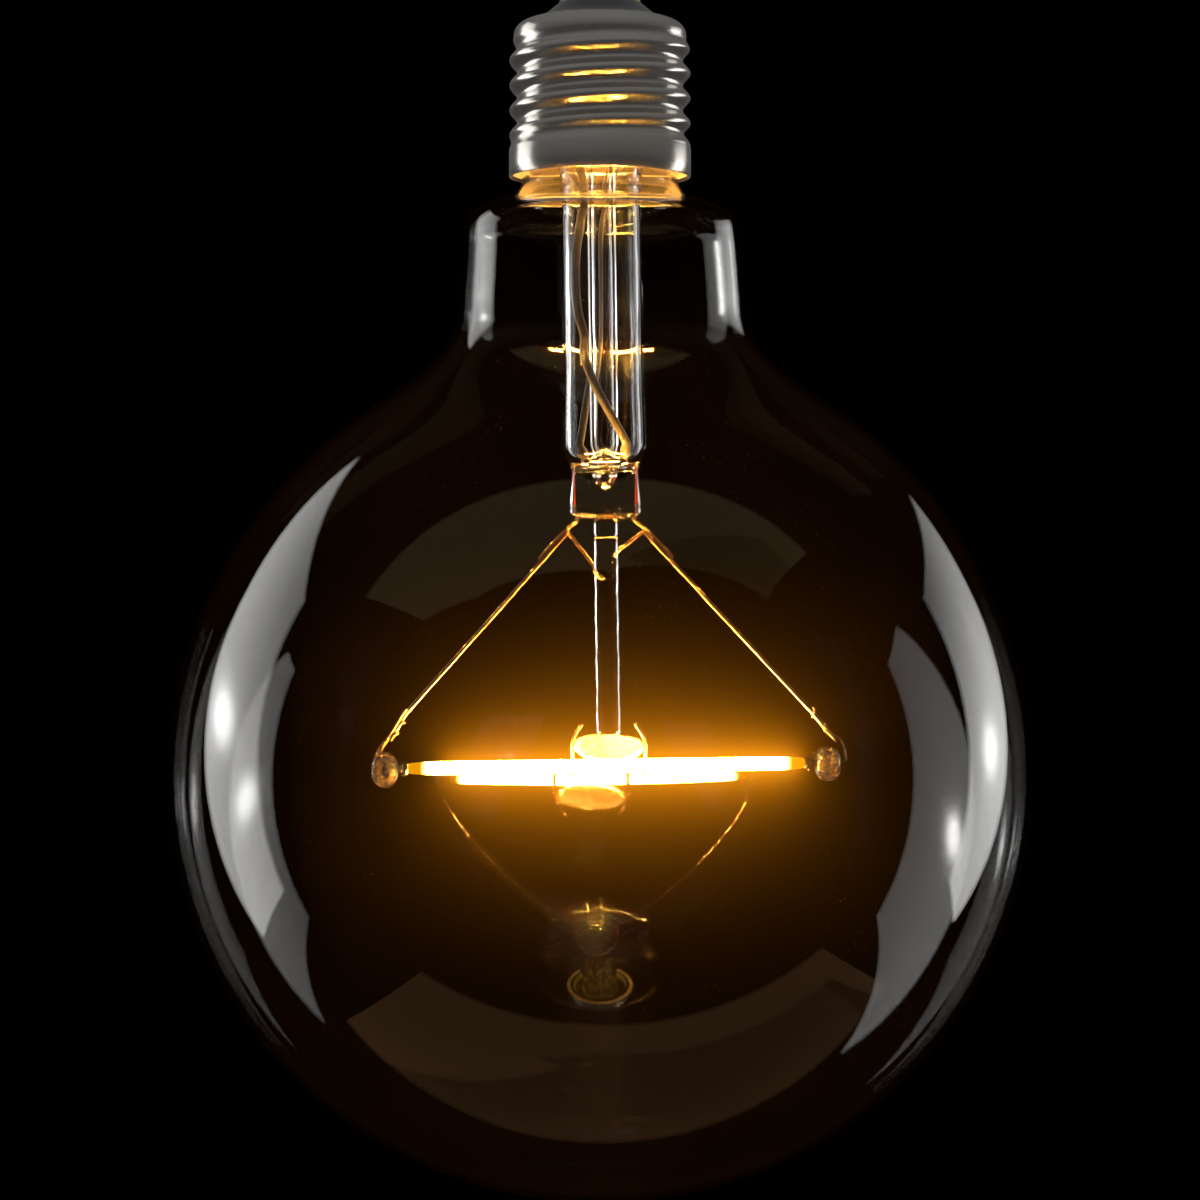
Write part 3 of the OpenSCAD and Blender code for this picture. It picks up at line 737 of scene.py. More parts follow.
@dataclass
class Envelope:
    """The blown glass: an elliptical globe, a drawn shoulder, a neck and a collar."""

    wall: float = 0.9
    rise: float = 61.3
    shoulder_h: float = 26.0
    neck_foot: tuple[float, float] = (20.9, 68.8)
    neck_head: tuple[float, float] = (20.2, 78.0)
    neck_shift: float = 0.36
    collar_r: float = 11.3
    sides: int = 384

    def outline(self) -> np.ndarray:
        """The outside, from the globe's lowest point up to the collar's rim."""
        top = math.asin(self.shoulder_h / self.rise)
        lower = np.linspace(-np.pi / 2, 0, 200)
        upper = np.linspace(0, top, 60)[1:]
        run = [(GLOBE_R * math.cos(a), EQUATOR + GLOBE_DROP * math.sin(a)) for a in lower]
        run += [(GLOBE_R * math.cos(a), EQUATOR + self.rise * math.sin(a)) for a in upper]
        slope = np.array([-GLOBE_R * math.sin(top), self.rise * math.cos(top)])
        slope /= np.linalg.norm(slope)
        joint = np.array(run[-1])
        foot = np.array([self.neck_foot[0], EQUATOR + self.neck_foot[1]])
        head = np.array([self.neck_head[0], EQUATOR + self.neck_head[1]])
        run += cubic([joint, joint + 35 * slope, foot - (0, 15.5), foot], 64)
        run += [foot + t * (head - foot) for t in (0.25, 0.5, 0.75, 1.0)]
        run += cubic([head, head + (0, 6), (self.collar_r, -4.6), (self.collar_r, 0)], 24)
        run += [(self.collar_r, z) for z in (2.0, 5.0, COLLAR_TOP)]
        return np.array(run)

    def moved(self, outline: np.ndarray, wall: float) -> np.ndarray:
        """The outline moved inwards by the wall.

        Args:
            outline: The outside.
            wall: How far to move it.

        Returns:
            The inside.
        """
        way = np.gradient(outline, axis=0)
        way /= np.linalg.norm(way, axis=1)[:, None]
        inside = outline + wall * np.stack([-way[:, 1], way[:, 0]], 1)
        inside[:, 0] = np.maximum(inside[:, 0], 0)
        return inside

    def middle(self, z: float) -> tuple[float, float, float]:
        """A ring's centre: the neck was drawn a little to the right of the globe.

        Args:
            z: The ring's height.

        Returns:
            The centre.
        """
        rise = min(max((z - EQUATOR - 15) / 45, 0), 1)
        fall = min(max(-z / 14, 0), 1)
        share = rise * rise * (3 - 2 * rise) * fall * fall * (3 - 2 * fall)
        return self.neck_shift * share, 0, z

    def build(self) -> None:
        """Makes the envelope as one closed glass wall."""
        outside = self.outline()
        outside[0, 0] = 0
        inside = self.moved(outside, self.wall)
        inside[0] = (0, outside[0, 1] + self.wall)
        skin = Skin()
        rings = [circle(self.middle(z), r, self.sides) for r, z in (*outside, *inside[::-1])]
        skin.tube(rings)
        place(skin, "envelope_glass", ClearGlass(), "clear_glass", "globe_envelope")


@dataclass
class Stem:
    """The stem: a flared tube with a press, the exhaust tube in it, and the rod with its button."""

    sides: int = 96
    d: float = 11.7
    wall: float = 0.9
    flare_r: float = 10.4
    swell_d: float = 12.1
    swell_h: float = 47.6
    floor_h: float = 46.2
    press_neck_w: float = 9.6
    press_w: float = 10.3
    press_t: float = 4.2
    press_top_h: float = 43.6
    press_foot_h: float = PRESS_FOOT_H
    press_flat: float = 0.4
    foot_rise: float = 1.3
    foot_inset: float = 1.15
    nub_foot_h: float = 34.2
    exhaust_d: float = 4.2
    exhaust_bore: float = 2.4
    rod_d: float = 3.5
    button_w: float = 10.2
    button_t: float = 6.4
    button_h: float = 3.9
    button_half_h: float = 1.85
    gap: float = 0.03

    def level_ring(self, half_w: float, half_t: float, z: float, flat: float) -> np.ndarray:
        """A level ring: two round ends with slightly hollow flats between them.

        Args:
            half_w: Half its width.
            half_t: Half its thickness.
            z: Its height.
            flat: The share of its points that the flats take. A round ring has none.

        Returns:
            The ring.
        """
        turn = full_turn(self.sides)
        c, s = np.cos(turn), np.sin(turn)
        along = np.clip(c / max(flat, 1e-6), -1, 1)
        end = np.sign(c) * np.maximum(np.abs(c) - flat, 0) / (1 - flat)
        x = (half_w - half_t) * along + half_t * end
        hollow = 0.3 * flat * (1 - along**2)
        y = half_t * np.sign(s) * np.sqrt(1 - end**2) * (1 - hollow)
        return leaned(np.stack([x, y, np.full_like(x, z)], 1))

    def lip(self, h: float) -> float:
        """How far the glass that the tongs squeezed out stands proud along the press's foot."""
        return 0.35 * math.exp(-(((h - self.press_foot_h - 0.9) / 0.7) ** 2))

    def shaft(self, r: float, swell_r: float) -> list[Vec]:
        """The straight part of the tube and the swell at its foot, as [radius, z]."""
        run = [(r, z) for z in np.linspace(-10, EQUATOR + 58, 6)]
        control = ((r, 58), (r, 54), (swell_r, 51), (swell_r, self.swell_h))
        return run + cubic([(v, EQUATOR + h) for v, h in control], 12)

    def outside(self) -> list[np.ndarray]:
        """The outside's rings, from the flare down to the nub."""
        r, swell_r = self.d / 2, self.swell_d / 2
        top = COLLAR_TOP
        run = [(self.flare_r, top), (self.flare_r, top - 1.2)]
        run += cubic([(self.flare_r, top - 1.2), (7, 6.4), (r, 4), (r, -4)], 20)
        run += self.shaft(r, swell_r)
        rings = [self.level_ring(v, v, z, 0.0) for v, z in run]
        for t in np.linspace(0, 1, 17)[1:]:
            ease = t * t * (3 - 2 * t)
            half_w = swell_r + (self.press_neck_w / 2 - swell_r) * ease
            half_t = swell_r + (self.press_t / 2 - swell_r) * ease
            h = self.swell_h + (self.press_top_h - self.swell_h) * t
            rings.append(self.level_ring(half_w, half_t, EQUATOR + h, self.press_flat * t))
        for t in np.linspace(0, 1, 25)[1:]:
            ease = t * t * (3 - 2 * t)
            half_w = (self.press_neck_w + (self.press_w - self.press_neck_w) * ease) / 2
            h = self.press_top_h + (self.press_foot_h + self.foot_rise - self.press_top_h) * t
            half_t = self.press_t / 2 + self.lip(h)
            rings.append(self.level_ring(half_w, half_t, EQUATOR + h, self.press_flat))
        for a in np.radians(np.linspace(10, 90, 9)):
            inset = self.foot_inset * (1 - math.cos(a))
            h = self.press_foot_h + self.foot_rise * (1 - math.sin(a))
            half_w, half_t = self.press_w / 2 - inset, self.press_t / 2 + self.lip(h) - inset
            ring = self.level_ring(half_w, half_t, EQUATOR + h, self.press_flat)
            x, y = ring[:, 0], ring[:, 1]
            ring[:, 2] += 0.1 * np.sin(1.3 * x + 0.4 * y) + 0.05 * np.sin(3.1 * x)
            rings.append(ring)
        nub = self.rod_d / 2
        rings.append(self.level_ring(nub + 0.3, nub - 0.8, EQUATOR + self.press_foot_h - 0.02, 0.3))
        for h in np.linspace(self.press_foot_h - 0.3, self.nub_foot_h + self.gap, 5):
            rings.append(self.level_ring(nub, nub, EQUATOR + h, 0.0))
        rings.append(leaned(at(0, 0, self.nub_foot_h + self.gap)[None]))
        return rings

    def inside(self) -> list[np.ndarray]:
        """The hollow's rings, from the flare down to the funnel's tip."""
        r, swell_r = self.d / 2 - self.wall, self.swell_d / 2 - self.wall
        top = COLLAR_TOP
        mouth = self.flare_r - self.wall - 0.3
        run = [(mouth + 0.3, top), (mouth, top - 0.9)]
        run += cubic([(mouth, top - 0.9), (6.4, 5.4), (r, 3), (r, -5)], 20)
        run += self.shaft(r, swell_r)
        floor = EQUATOR + self.floor_h
        neck = self.exhaust_bore / 2
        stretches = (
            (8, ((swell_r, 1.4), (swell_r, 0.4), (4.9, 0), (4.6, -0.8))),
            (10, ((4.6, -0.8), (4.2, -1.6), (3.2, -1.5), (2.7, -0.6))),
            (5, ((2.7, -0.6), (2.5, -0.15), (2.3, 0), (2.0, 0))),
            (6, ((2.0, 0), (neck, 0), (neck - 0.1, -0.5), (neck + 0.1, -1.6))),
            (10, ((neck + 0.1, -1.6), (2.3, -2.8), (2.0, -3.6), (1.2, -4.3))),
            (6, ((1.2, -4.3), (0.8, -4.6), (0.8, -5.0), (0, -5.2))),
        )
        for steps, control in stretches:
            run += cubic([(v, floor + h) for v, h in control], steps)
        return [leaned(circle((0, 0, z), max(v, 0), self.sides)) for v, z in run]

    def build_tube(self) -> None:
        """The stem tube, as one skin up its outside and down its inside."""
        skin = Skin()
        skin.tube([*self.outside()[::-1], *self.inside()])
        place(skin, "stem_glass_tube", STEM_GLASS, "stem_glass", "stem_tube")

    def build_exhaust(self) -> None:
        """The exhaust tube, open at its foot and melted shut at its tip."""
        r, bore = self.exhaust_d / 2, self.exhaust_bore / 2
        foot = EQUATOR + self.floor_h + self.gap
        tip = 9.6
        up = [(bore, foot), (r - 0.1, foot), (r, foot + 0.1)]
        up += [(r, z) for z in np.linspace(foot + 1, tip - 5, 12)]
        up += cubic([(r, tip - 5), (r, tip - 2.2), (0.9, tip - 1.6), (0, tip)], 14)
        down = cubic([(0, tip - 2.4), (0.3, tip - 3), (bore, tip - 3.4), (bore, tip - 5.4)], 10)
        down = [(0, tip - 2.4), *down] + [(bore, z) for z in np.linspace(tip - 6, foot + 1, 12)]
        skin = Skin()
        rings = [leaned(circle((0, 0, z), v, self.sides)) for v, z in up + down]
        skin.tube(rings[: len(up)])
        skin.tube(rings[len(up) :])
        skin.bridge(list(range(skin.count - self.sides, skin.count)), list(range(self.sides)))
        place(skin, "exhaust_glass_tube", STEM_GLASS, "stem_glass", "exhaust_tube")

    def build_rod(self) -> None:
        """The solid rod, very slightly uneven along its length, and the hazy seam on its top."""
        r = self.rod_d / 2
        foot = self.button_h + self.button_half_h - 0.12
        heights = np.linspace(foot, self.nub_foot_h - self.gap, 40)
        heights = np.sort([*heights, heights[0] + 0.08, heights[-1] - 0.08])
        skin = Skin()
        rings = [leaned(at(0, 0, foot)[None])]
        for h in heights:
            wave = 0.03 * math.sin(0.9 * h) + 0.02 * math.sin(2.3 * h + 1)
            edge = 0.06 if h in (heights[0], heights[-1]) else 0
            rings.append(leaned(circle(at(0, 0, h), r + wave - edge, self.sides)))
        rings.append(leaned(at(0, 0, heights[-1])[None]))
        skin.tube(rings)
        seam = Skin()
        top, under = self.nub_foot_h + 0.012, self.nub_foot_h - 0.012
        corners = ((0, top), (r, top), (r, under), (0, under))
        seam.tube([leaned(circle(at(0, 0, h), v, self.sides)) for v, h in corners])
        haze = Haze("seam_haze", colour=(1.0, 0.8, 0.5), scale=900, gap=(0.2, 0.5), soot=0.1)
        place(seam, "rod_seam", haze, "stem_glass", "glass_rod")
        finish = ClearGlass("rod_glass", ior=1.5, film=0.002, speck=0.2, waves=0.00012, wave_scale=160.0)
        place(skin, "rod_glass", finish, "stem_glass", "glass_rod")

    def button_skin(self, size: float) -> Skin:
        """The button's form: a flat lopsided drop with soft lumps.

        Args:
            size: Its size, as a share of the whole button's.

        Returns:
            The skin.
        """
        skin = Skin()
        rings = []
        turn = full_turn(self.sides)
        tilt = math.radians(3)
        for a in np.linspace(-np.pi / 2, np.pi / 2, 41):
            share = math.cos(a) ** 0.55
            height = self.button_half_h * math.sin(a)
            narrow = 1 - 0.1 * max(0.0, -math.sin(a))
            lump = 1 + 0.02 * np.sin(3 * turn + 2 * a) + 0.012 * np.sin(7 * turn - 3 * a)
            x = self.button_w / 2 * share * narrow * lump * boxed(np.cos(turn), 0.85)
            y = self.button_t / 2 * share * lump * boxed(np.sin(turn), 0.9)
            z = np.full_like(x, height - 0.12) + 0.05 * np.sin(2 * turn + 3 * a)
            x, z = x * math.cos(tilt) + z * math.sin(tilt), z * math.cos(tilt) - x * math.sin(tilt)
            ring = at(0, 0, self.button_h) + size * np.stack([x, y, z], 1)
            rings.append(leaned(ring) if share > 1e-3 else leaned(ring.mean(0)[None]))
        skin.tube(rings)
        return skin

    def build_button(self) -> None:
        """The button, with the haze that its glass holds."""
        haze = Haze(
            "button_haze",
            colour=(0.48, 0.44, 0.38),
            scale=420,
            stretch=(0.45, 1, 2.6),
            gap=(0.42, 0.56),
            soot=0.0,
        )
        place(self.button_skin(0.78), "button_haze", haze, "stem_glass", "support_button")
        finish = MeltedGlass(
            "button_glass", milk=0.07, swirl=0.0004, swirl_scale=380.0, colour=(1.0, 0.95, 0.88)
        )
        place(self.button_skin(1.0), "button_glass_drop", finish, "stem_glass", "support_button")

    def build(self) -> None:
        """Makes the stem's four glass pieces."""
        self.build_tube()
        self.build_exhaust()
        self.build_rod()
        self.build_button()


@dataclass
class Mount:
    """The wires of the mount: hooks, supports, inner leads and seals."""

    support_d: float = SUPPORT_D
    lead_d: float = 0.5
    seal_d: float = 0.34
    hook_x: float = 5.23
    seal_foot_h: float = 38.9

    def support_points(self, side: Side) -> list[np.ndarray]:
        """A support wire: its tip in the rod, its bend under the press, and its run to the bead."""
        if side is Side.LEFT:
            return [at(-0.4, 0.3, 28.3), at(-5.5, 0.3, 35.1), at(-29.6, 0.1, 8.9), at(-31.6, 0, 5.4)]
        return [at(0.8, 0.3, 31.6), at(5.5, 0.3, 35.1), at(29.9, 0.1, 8.2), at(33, 0, 4.4)]

    def bent(self, points: Sequence[np.ndarray], radius: float) -> np.ndarray:
        """A run of straight lines with small round bends.

        Args:
            points: The corners.
            radius: How far from a corner its bend starts.

        Returns:
            The run.
        """
        run = [points[0]]
        for a, b, c in zip(points, points[1:], points[2:]):
            start, end = b + radius * unit(a - b), b + radius * unit(c - b)
            run.append(start)
            run += cubic([start, b, b, end], 6)
        run.append(points[-1])
        counts = [max(2, int(np.linalg.norm(b - a) / 1.2)) for a, b in zip(run, run[1:])]
        steps = [np.linspace(a, b, count)[:-1] for a, b, count in zip(run, run[1:], counts)]
        return np.concatenate([*steps, [run[-1]]])

    def build_side(self, side: Side) -> None:
        """Makes one side's four wires.

        Args:
            side: Which side.
        """
        s, word = side.value, side.word
        metal = Metal(
            "support_metal",
            colour=(0.74, 0.52, 0.32),
            roughness=0.2,
            spread=0.08,
            tarnish=(0.5, 0.32, 0.18),
        )
        turned = (
            (0.9, 4.7),
            (1.25, 1.4),
            (0.9, FILAMENT_H - 0.95),
            (0, FILAMENT_H - 1.25),
            (-0.7, FILAMENT_H - 1.1),
        )
        hook = [at(s * (self.hook_x - 1.3), 0.6, 7.1), *(at(s * self.hook_x, y, h) for y, h in turned)]
        skin = wire(smooth_run(hook, 8), self.lead_d)
        place(skin, f"{word}_hook_wire", metal, "support_metal", f"{word}_hook")
        points = self.support_points(side)
        skin = wire(self.bent(points, 0.5), self.support_d)
        place(skin, f"{word}_support", metal, "support_metal", f"{word}_support_wire")
        way = unit(points[2] - points[1])
        out = np.array([-s * way[2], 0, s * way[0]]) * (self.support_d + self.lead_d) / 2
        foot, top = at(s * SEAL_X, 0, self.seal_foot_h), at(s * SEAL_X, 0, SEAL_TOP_H)
        lead = [
            foot,
            at(s * SEAL_X, 0, PRESS_FOOT_H - 0.3),
            points[1] + 0.9 * way + out,
            points[1] + 5.6 * way + out,
        ]
        skin = wire(self.bent(lead, 0.4), self.lead_d)
        weld = points[1] + np.linspace(4.3, 5.5, 5)[:, None] * way + 0.75 * out
        add_wire(skin, weld, 0.85 * self.support_d)
        place(skin, f"{word}_lead", metal, "support_metal", f"{word}_inner_lead")
        copper = Solid("seal_copper", (0.9, 0.05, 0.005), (0.9, 0.2, 0.02), 0.5, 500.0, shine=0.05)
        skin = wire(np.linspace(foot, top, 6), self.seal_d)
        place(skin, f"{word}_seal", copper, "seal_copper", f"{word}_seal_wire")

    def build(self) -> None:
        """Makes both sides."""
        for side in Side:
            self.build_side(side)


@dataclass
class OuterLeads:
    """The two leads that run up inside the stem tube, each in its sleeve."""

    sleeve_d: float = 1.2
    wire_d: float = 0.4

    def route(self, side: Side) -> list[np.ndarray]:
        """A lead's route: one crosses in front of the exhaust tube, and one behind it."""
        if side is Side.RIGHT:
            points = [
                (3.7, -0.4, 46.9), (3.0, -1.5, 48.2), (1.1, -2.9, 51.6), (-1.4, -3.3, 56.2),
                (-2.7, -2.1, 59.8), (-2.6, -2.2, 62.5), (-3.3, -2.1, 66), (-3.7, -1.7, 70),
                (-3.6, -1.8, 75), (-2.8, -2.4, 80.5), (-2.5, -2.5, 85), (-4, 0, 92), (-4.6, 1, 95),
            ]
        else:
            points = [
                (-4.0, 0.3, 46.9), (-3.6, 1.5, 48.6), (-3, 2.3, 52), (-2.1, 3, 56.4),
                (-0.8, 3.5, 60.6), (-0.5, 3.5, 66), (-0.3, 3.4, 72), (-0.2, 3.3, 78),
                (1.2, 3, 84), (3.4, 2, 90), (4.6, 1, 95),
            ]
        return [at(*p) for p in points]

    def build(self) -> None:
        """Makes both leads and both sleeves."""
        copper = Metal("lead_copper", (0.72, 0.45, 0.3), 0.3)
        for side in Side:
            route = self.route(side)
            sleeve = smooth_run(route, 8)
            skin = Skin()
            bore = self.wire_d / 2 + 0.08
            outer = swept_rings(sleeve, self.sleeve_d / 2, 20)
            inner = swept_rings(sleeve, bore, 20)
            skin.tube([leaned(r) for r in (*outer, *inner[::-1])], True)
            place(skin, f"{side.word}_sleeve", Sleeving(), "lead_sleeving", f"{side.word}_lead_sleeve")
            foot = at(side.value * SEAL_X, 0, SEAL_TOP_H)
            run = smooth_run([foot, *route, route[-1] + (0, 0.4, 1)], 6)
            skin = wire(run, self.wire_d)
            place(skin, f"{side.word}_copper_lead", copper, "lead_copper", f"{side.word}_outer_lead")


@dataclass
class Filament:
    """The lit strip: its coat, its chips, its carrier and its two lugs."""

    length: float = 58.0
    coat_d: float = 1.9
    h: float = FILAMENT_H
    shift: float = FILAMENT_SHIFT

    def build(self) -> None:
        """Makes the coat and dresses what is inside and beside it."""
        r, half = self.coat_d / 2, self.length / 2 - 0.2
        body = [(0, 0), (r - 0.42, 0), (r - 0.3, 0.06), (r - 0.2, 0.3)]
        body += cubic([(r - 0.2, 0.3), (r - 0.08, 1.2), (r, 2.2), (r, 4)], 10)
        outline = [(v, x - half) for v, x in body] + [(v, half - x) for v, x in reversed(body)]
        skin = Skin()
        turn = full_turn(40)
        rings = []
        for v, x in outline:
            ring = np.stack([np.full_like(turn, x + self.shift), v * np.cos(turn), v * np.sin(turn)], 1)
            ring[:, 2] += EQUATOR + self.h
            rings.append(leaned(ring if v > 0 else ring[:1]))
        skin.tube(rings)
        middle = leaned(at(self.shift, 0, self.h)[None])[0][0]
        finish = LitCoat(middle_x=middle, half_length=half)
        place(skin, "lit_coat", finish, "phosphor_coat", "filament_coat")
        dress("filament_strip", Solid("strip_ceramic", (0.9, 0.9, 0.86), (0.8, 0.8, 0.76), 0.6))
        crystal = Solid("chip_crystal", (0.2, 0.25, 0.6), (0.3, 0.36, 0.7), 0.15, coat=0.5)
        dress("filament_chips", crystal)
        for side in Side:
            self.build_lug(side)

    def build_lug(self, side: Side) -> None:
        """A lug: a pinched clamp at the coat's end, a neck into the bead, and two drops of metal.

        Args:
            side: Which side.
        """
        s = side.value
        end = s * (self.length / 2 - 0.2) + self.shift
        turn = full_turn(24)
        profile = (
            (-1.4, 0.46, 0.4), (0.0, 0.46, 0.42), (0.02, 0.55, 0.8), (0.45, 0.62, 0.92),
            (0.75, 0.5, 0.8), (0.95, 0.34, 0.5), (1.45, 0.24, 0.4), (2.6, 0.16, 0.38),
        )
        rings = []
        for x, half_t, half_h in profile:
            lump = 1 + 0.09 * np.sin(3 * turn + 4 * x + s) * (x > 0)
            y = half_t * boxed(np.cos(turn), 0.6) * lump
            z = half_h * boxed(np.sin(turn), 0.6) * lump + EQUATOR + self.h
            rings.append(leaned(np.stack([0 * turn + end + s * x, y, z], 1)))
        skin = Skin()
        skin.tube([r[::s] for r in (rings[0].mean(0)[None], *rings, rings[-1].mean(0)[None])])
        for x, h, d in ((0.75, -1.0, 0.5), (0.25, -0.72, 0.42)):
            drop = at(end + s * x, -0.35, self.h + h)
            add_wire(skin, np.linspace(drop, drop + (0.12 * s, 0, 0.1), 3), d)
        metal = Metal(
            "lug_steel",
            colour=(0.34, 0.32, 0.3),
            roughness=0.16,
            spread=0.1,
            scale=1200.0,
            tarnish=(0.2, 0.18, 0.16),
            relief=0.00004,
        )
        place(skin, f"{side.word}_lug", metal, "lug_steel", f"{side.word}_filament_lug")


@dataclass
class Beads:
    """The glass beads at the filament's ends, with their thin wires."""

    d: float = 5.1
    t: float = 3.9
    x: float = 32.2
    h: float = 0.9
    shift: float = FILAMENT_SHIFT
    wire_d: float = 0.32
    support_d: float = SUPPORT_D
    sides: int = 64

    def centre(self, side: Side) -> np.ndarray:
        """A bead's centre."""
        return at(side.value * self.x + self.shift, 0, self.h)

    def bead_skin(self, side: Side, size: float) -> Skin:
        """One bead's form: a short barrel along the filament, a little lumpy.

        Args:
            side: Which side.
            size: Its size, as a share of the whole bead's.

        Returns:
            The skin.
        """
        skin = Skin()
        rings = []
        turn = full_turn(self.sides)
        for a in np.linspace(-np.pi / 2, np.pi / 2, 33):
            share = math.cos(a) ** 0.8 if abs(a) < 1.57 else 0
            lump = 1 + 0.025 * np.sin(2 * turn + 2 * a + side.value) + 0.02 * np.sin(5 * turn - 3 * a)
            along = self.t / 2 * math.copysign(abs(math.sin(a)) ** 0.85, math.sin(a))
            ring = np.stack([0 * turn + along, np.cos(turn) * lump, np.sin(turn) * lump], 1)
            ring[:, 1:] *= self.d / 2 * share
            ring = self.centre(side) + size * ring
            rings.append(leaned(ring if share else ring[:1]))
        skin.tube(rings)
        return skin

    def build_bead(self, side: Side) -> None:
        """One bead, with the smoky haze that its glass holds.

        Args:
            side: Which side.
        """
        node = f"{side.word}_glass_bead"
        haze = Haze("bead_haze", colour=(0.95, 0.74, 0.44), scale=900, soot=0.6)
        place(self.bead_skin(side, 0.6), f"{side.word}_bead_haze", haze, "bead_glass", node)
        glass = MeltedGlass("bead_glass", milk=0.012, swirl=0.00012, swirl_scale=500.0)
        place(self.bead_skin(side, 1.0), f"{side.word}_bead", glass, "bead_glass", node)

    def turns(
        self, a: np.ndarray, b: np.ndarray, r: float, turns: float, start: float
    ) -> list[np.ndarray]:
        """The turns of a thin wire about the straight run from a to b.

        Args:
            a: Where they start.
            b: Where they end.
            r: Their radius.
            turns: How many there are.
            start: The first one's angle, in degrees.

        Returns:
            The points.
        """
        way = unit(b - a)
        u = unit(np.cross(way, (0, 1, 0)))
        v = np.cross(way, u)
        made = []
        for t in np.linspace(0, 1, 60):
            q = math.radians(start + 360 * turns * t)
            made.append(a + t * (b - a) + r * (math.cos(q) * u + math.sin(q) * v))
        return made

    def build_wires(self, side: Side, support: Sequence[np.ndarray]) -> None:
        """The thin wires of one bead.

        Args:
            side: Which side.
            support: The corners of the support wire that they are wound about.
        """
        r = (self.support_d + self.wire_d) / 2 + 0.02
        low, high = support[3], support[2]
        up = unit(high - low)
        skin = Skin()
        root = self.centre(side) + (0, 0 if side is Side.LEFT else 0.4, 0.9)
        if side is Side.LEFT:
            on = unit(support[1] - high)
            rise = [root, at(-33.1, 0, 2.9), at(-32.95, -0.1, 3.9), at(-32.5, -0.1, 4.8)]
            wound = self.turns(low + 0.2 * up, high + 0.4 * on, r, 2.25, 330)
            add_wire(skin, np.array([*smooth_run(rise, 6), *wound]), self.wire_d)
            second = [
                root + (-1.1, 0, 0), at(-33.85, 0, 2.5), at(-33.65, -0.2, 3.5), at(-33.05, -0.4, 4.5),
                at(-32.3, -0.6, 5.4), at(-31.3, -0.66, 6.7), at(-29.9, -0.6, 9), at(-29.3, -0.5, 9.8),
            ]
            add_wire(skin, smooth_run(second, 8), self.wire_d)
        else:
            round_bead = [(34.3, 0.5, 1.3), (34.4, 0.45, 2.3), (34.15, 0.3, 3.5), (33.75, 0.1, 4.4)]
            rise = [root, *(at(*p) for p in round_bead)]
            wound = self.turns(low + 0.2 * up, high - 0.2 * up, r, 1.5, 190)
            end = [high + (0.15, -0.45, 0.4), high + (0, -0.5, 1)]
            add_wire(skin, np.array([*smooth_run(rise, 6), *wound, *end]), self.wire_d)
        metal = Metal(
            "thin_wire", colour=(0.5, 0.37, 0.23), roughness=0.2, spread=0.08, tarnish=(0.3, 0.2, 0.11)
        )
        place(skin, f"{side.word}_thin_wire", metal, "thin_wire", f"{side.word}_bead_wire")

    def build(self, mount: Mount) -> None:
        """Makes both beads and their wires.

        Args:
            mount: The mount, whose support wires they are wound about.
        """
        for side in Side:
            self.build_bead(side)
            self.build_wires(side, mount.support_points(side))


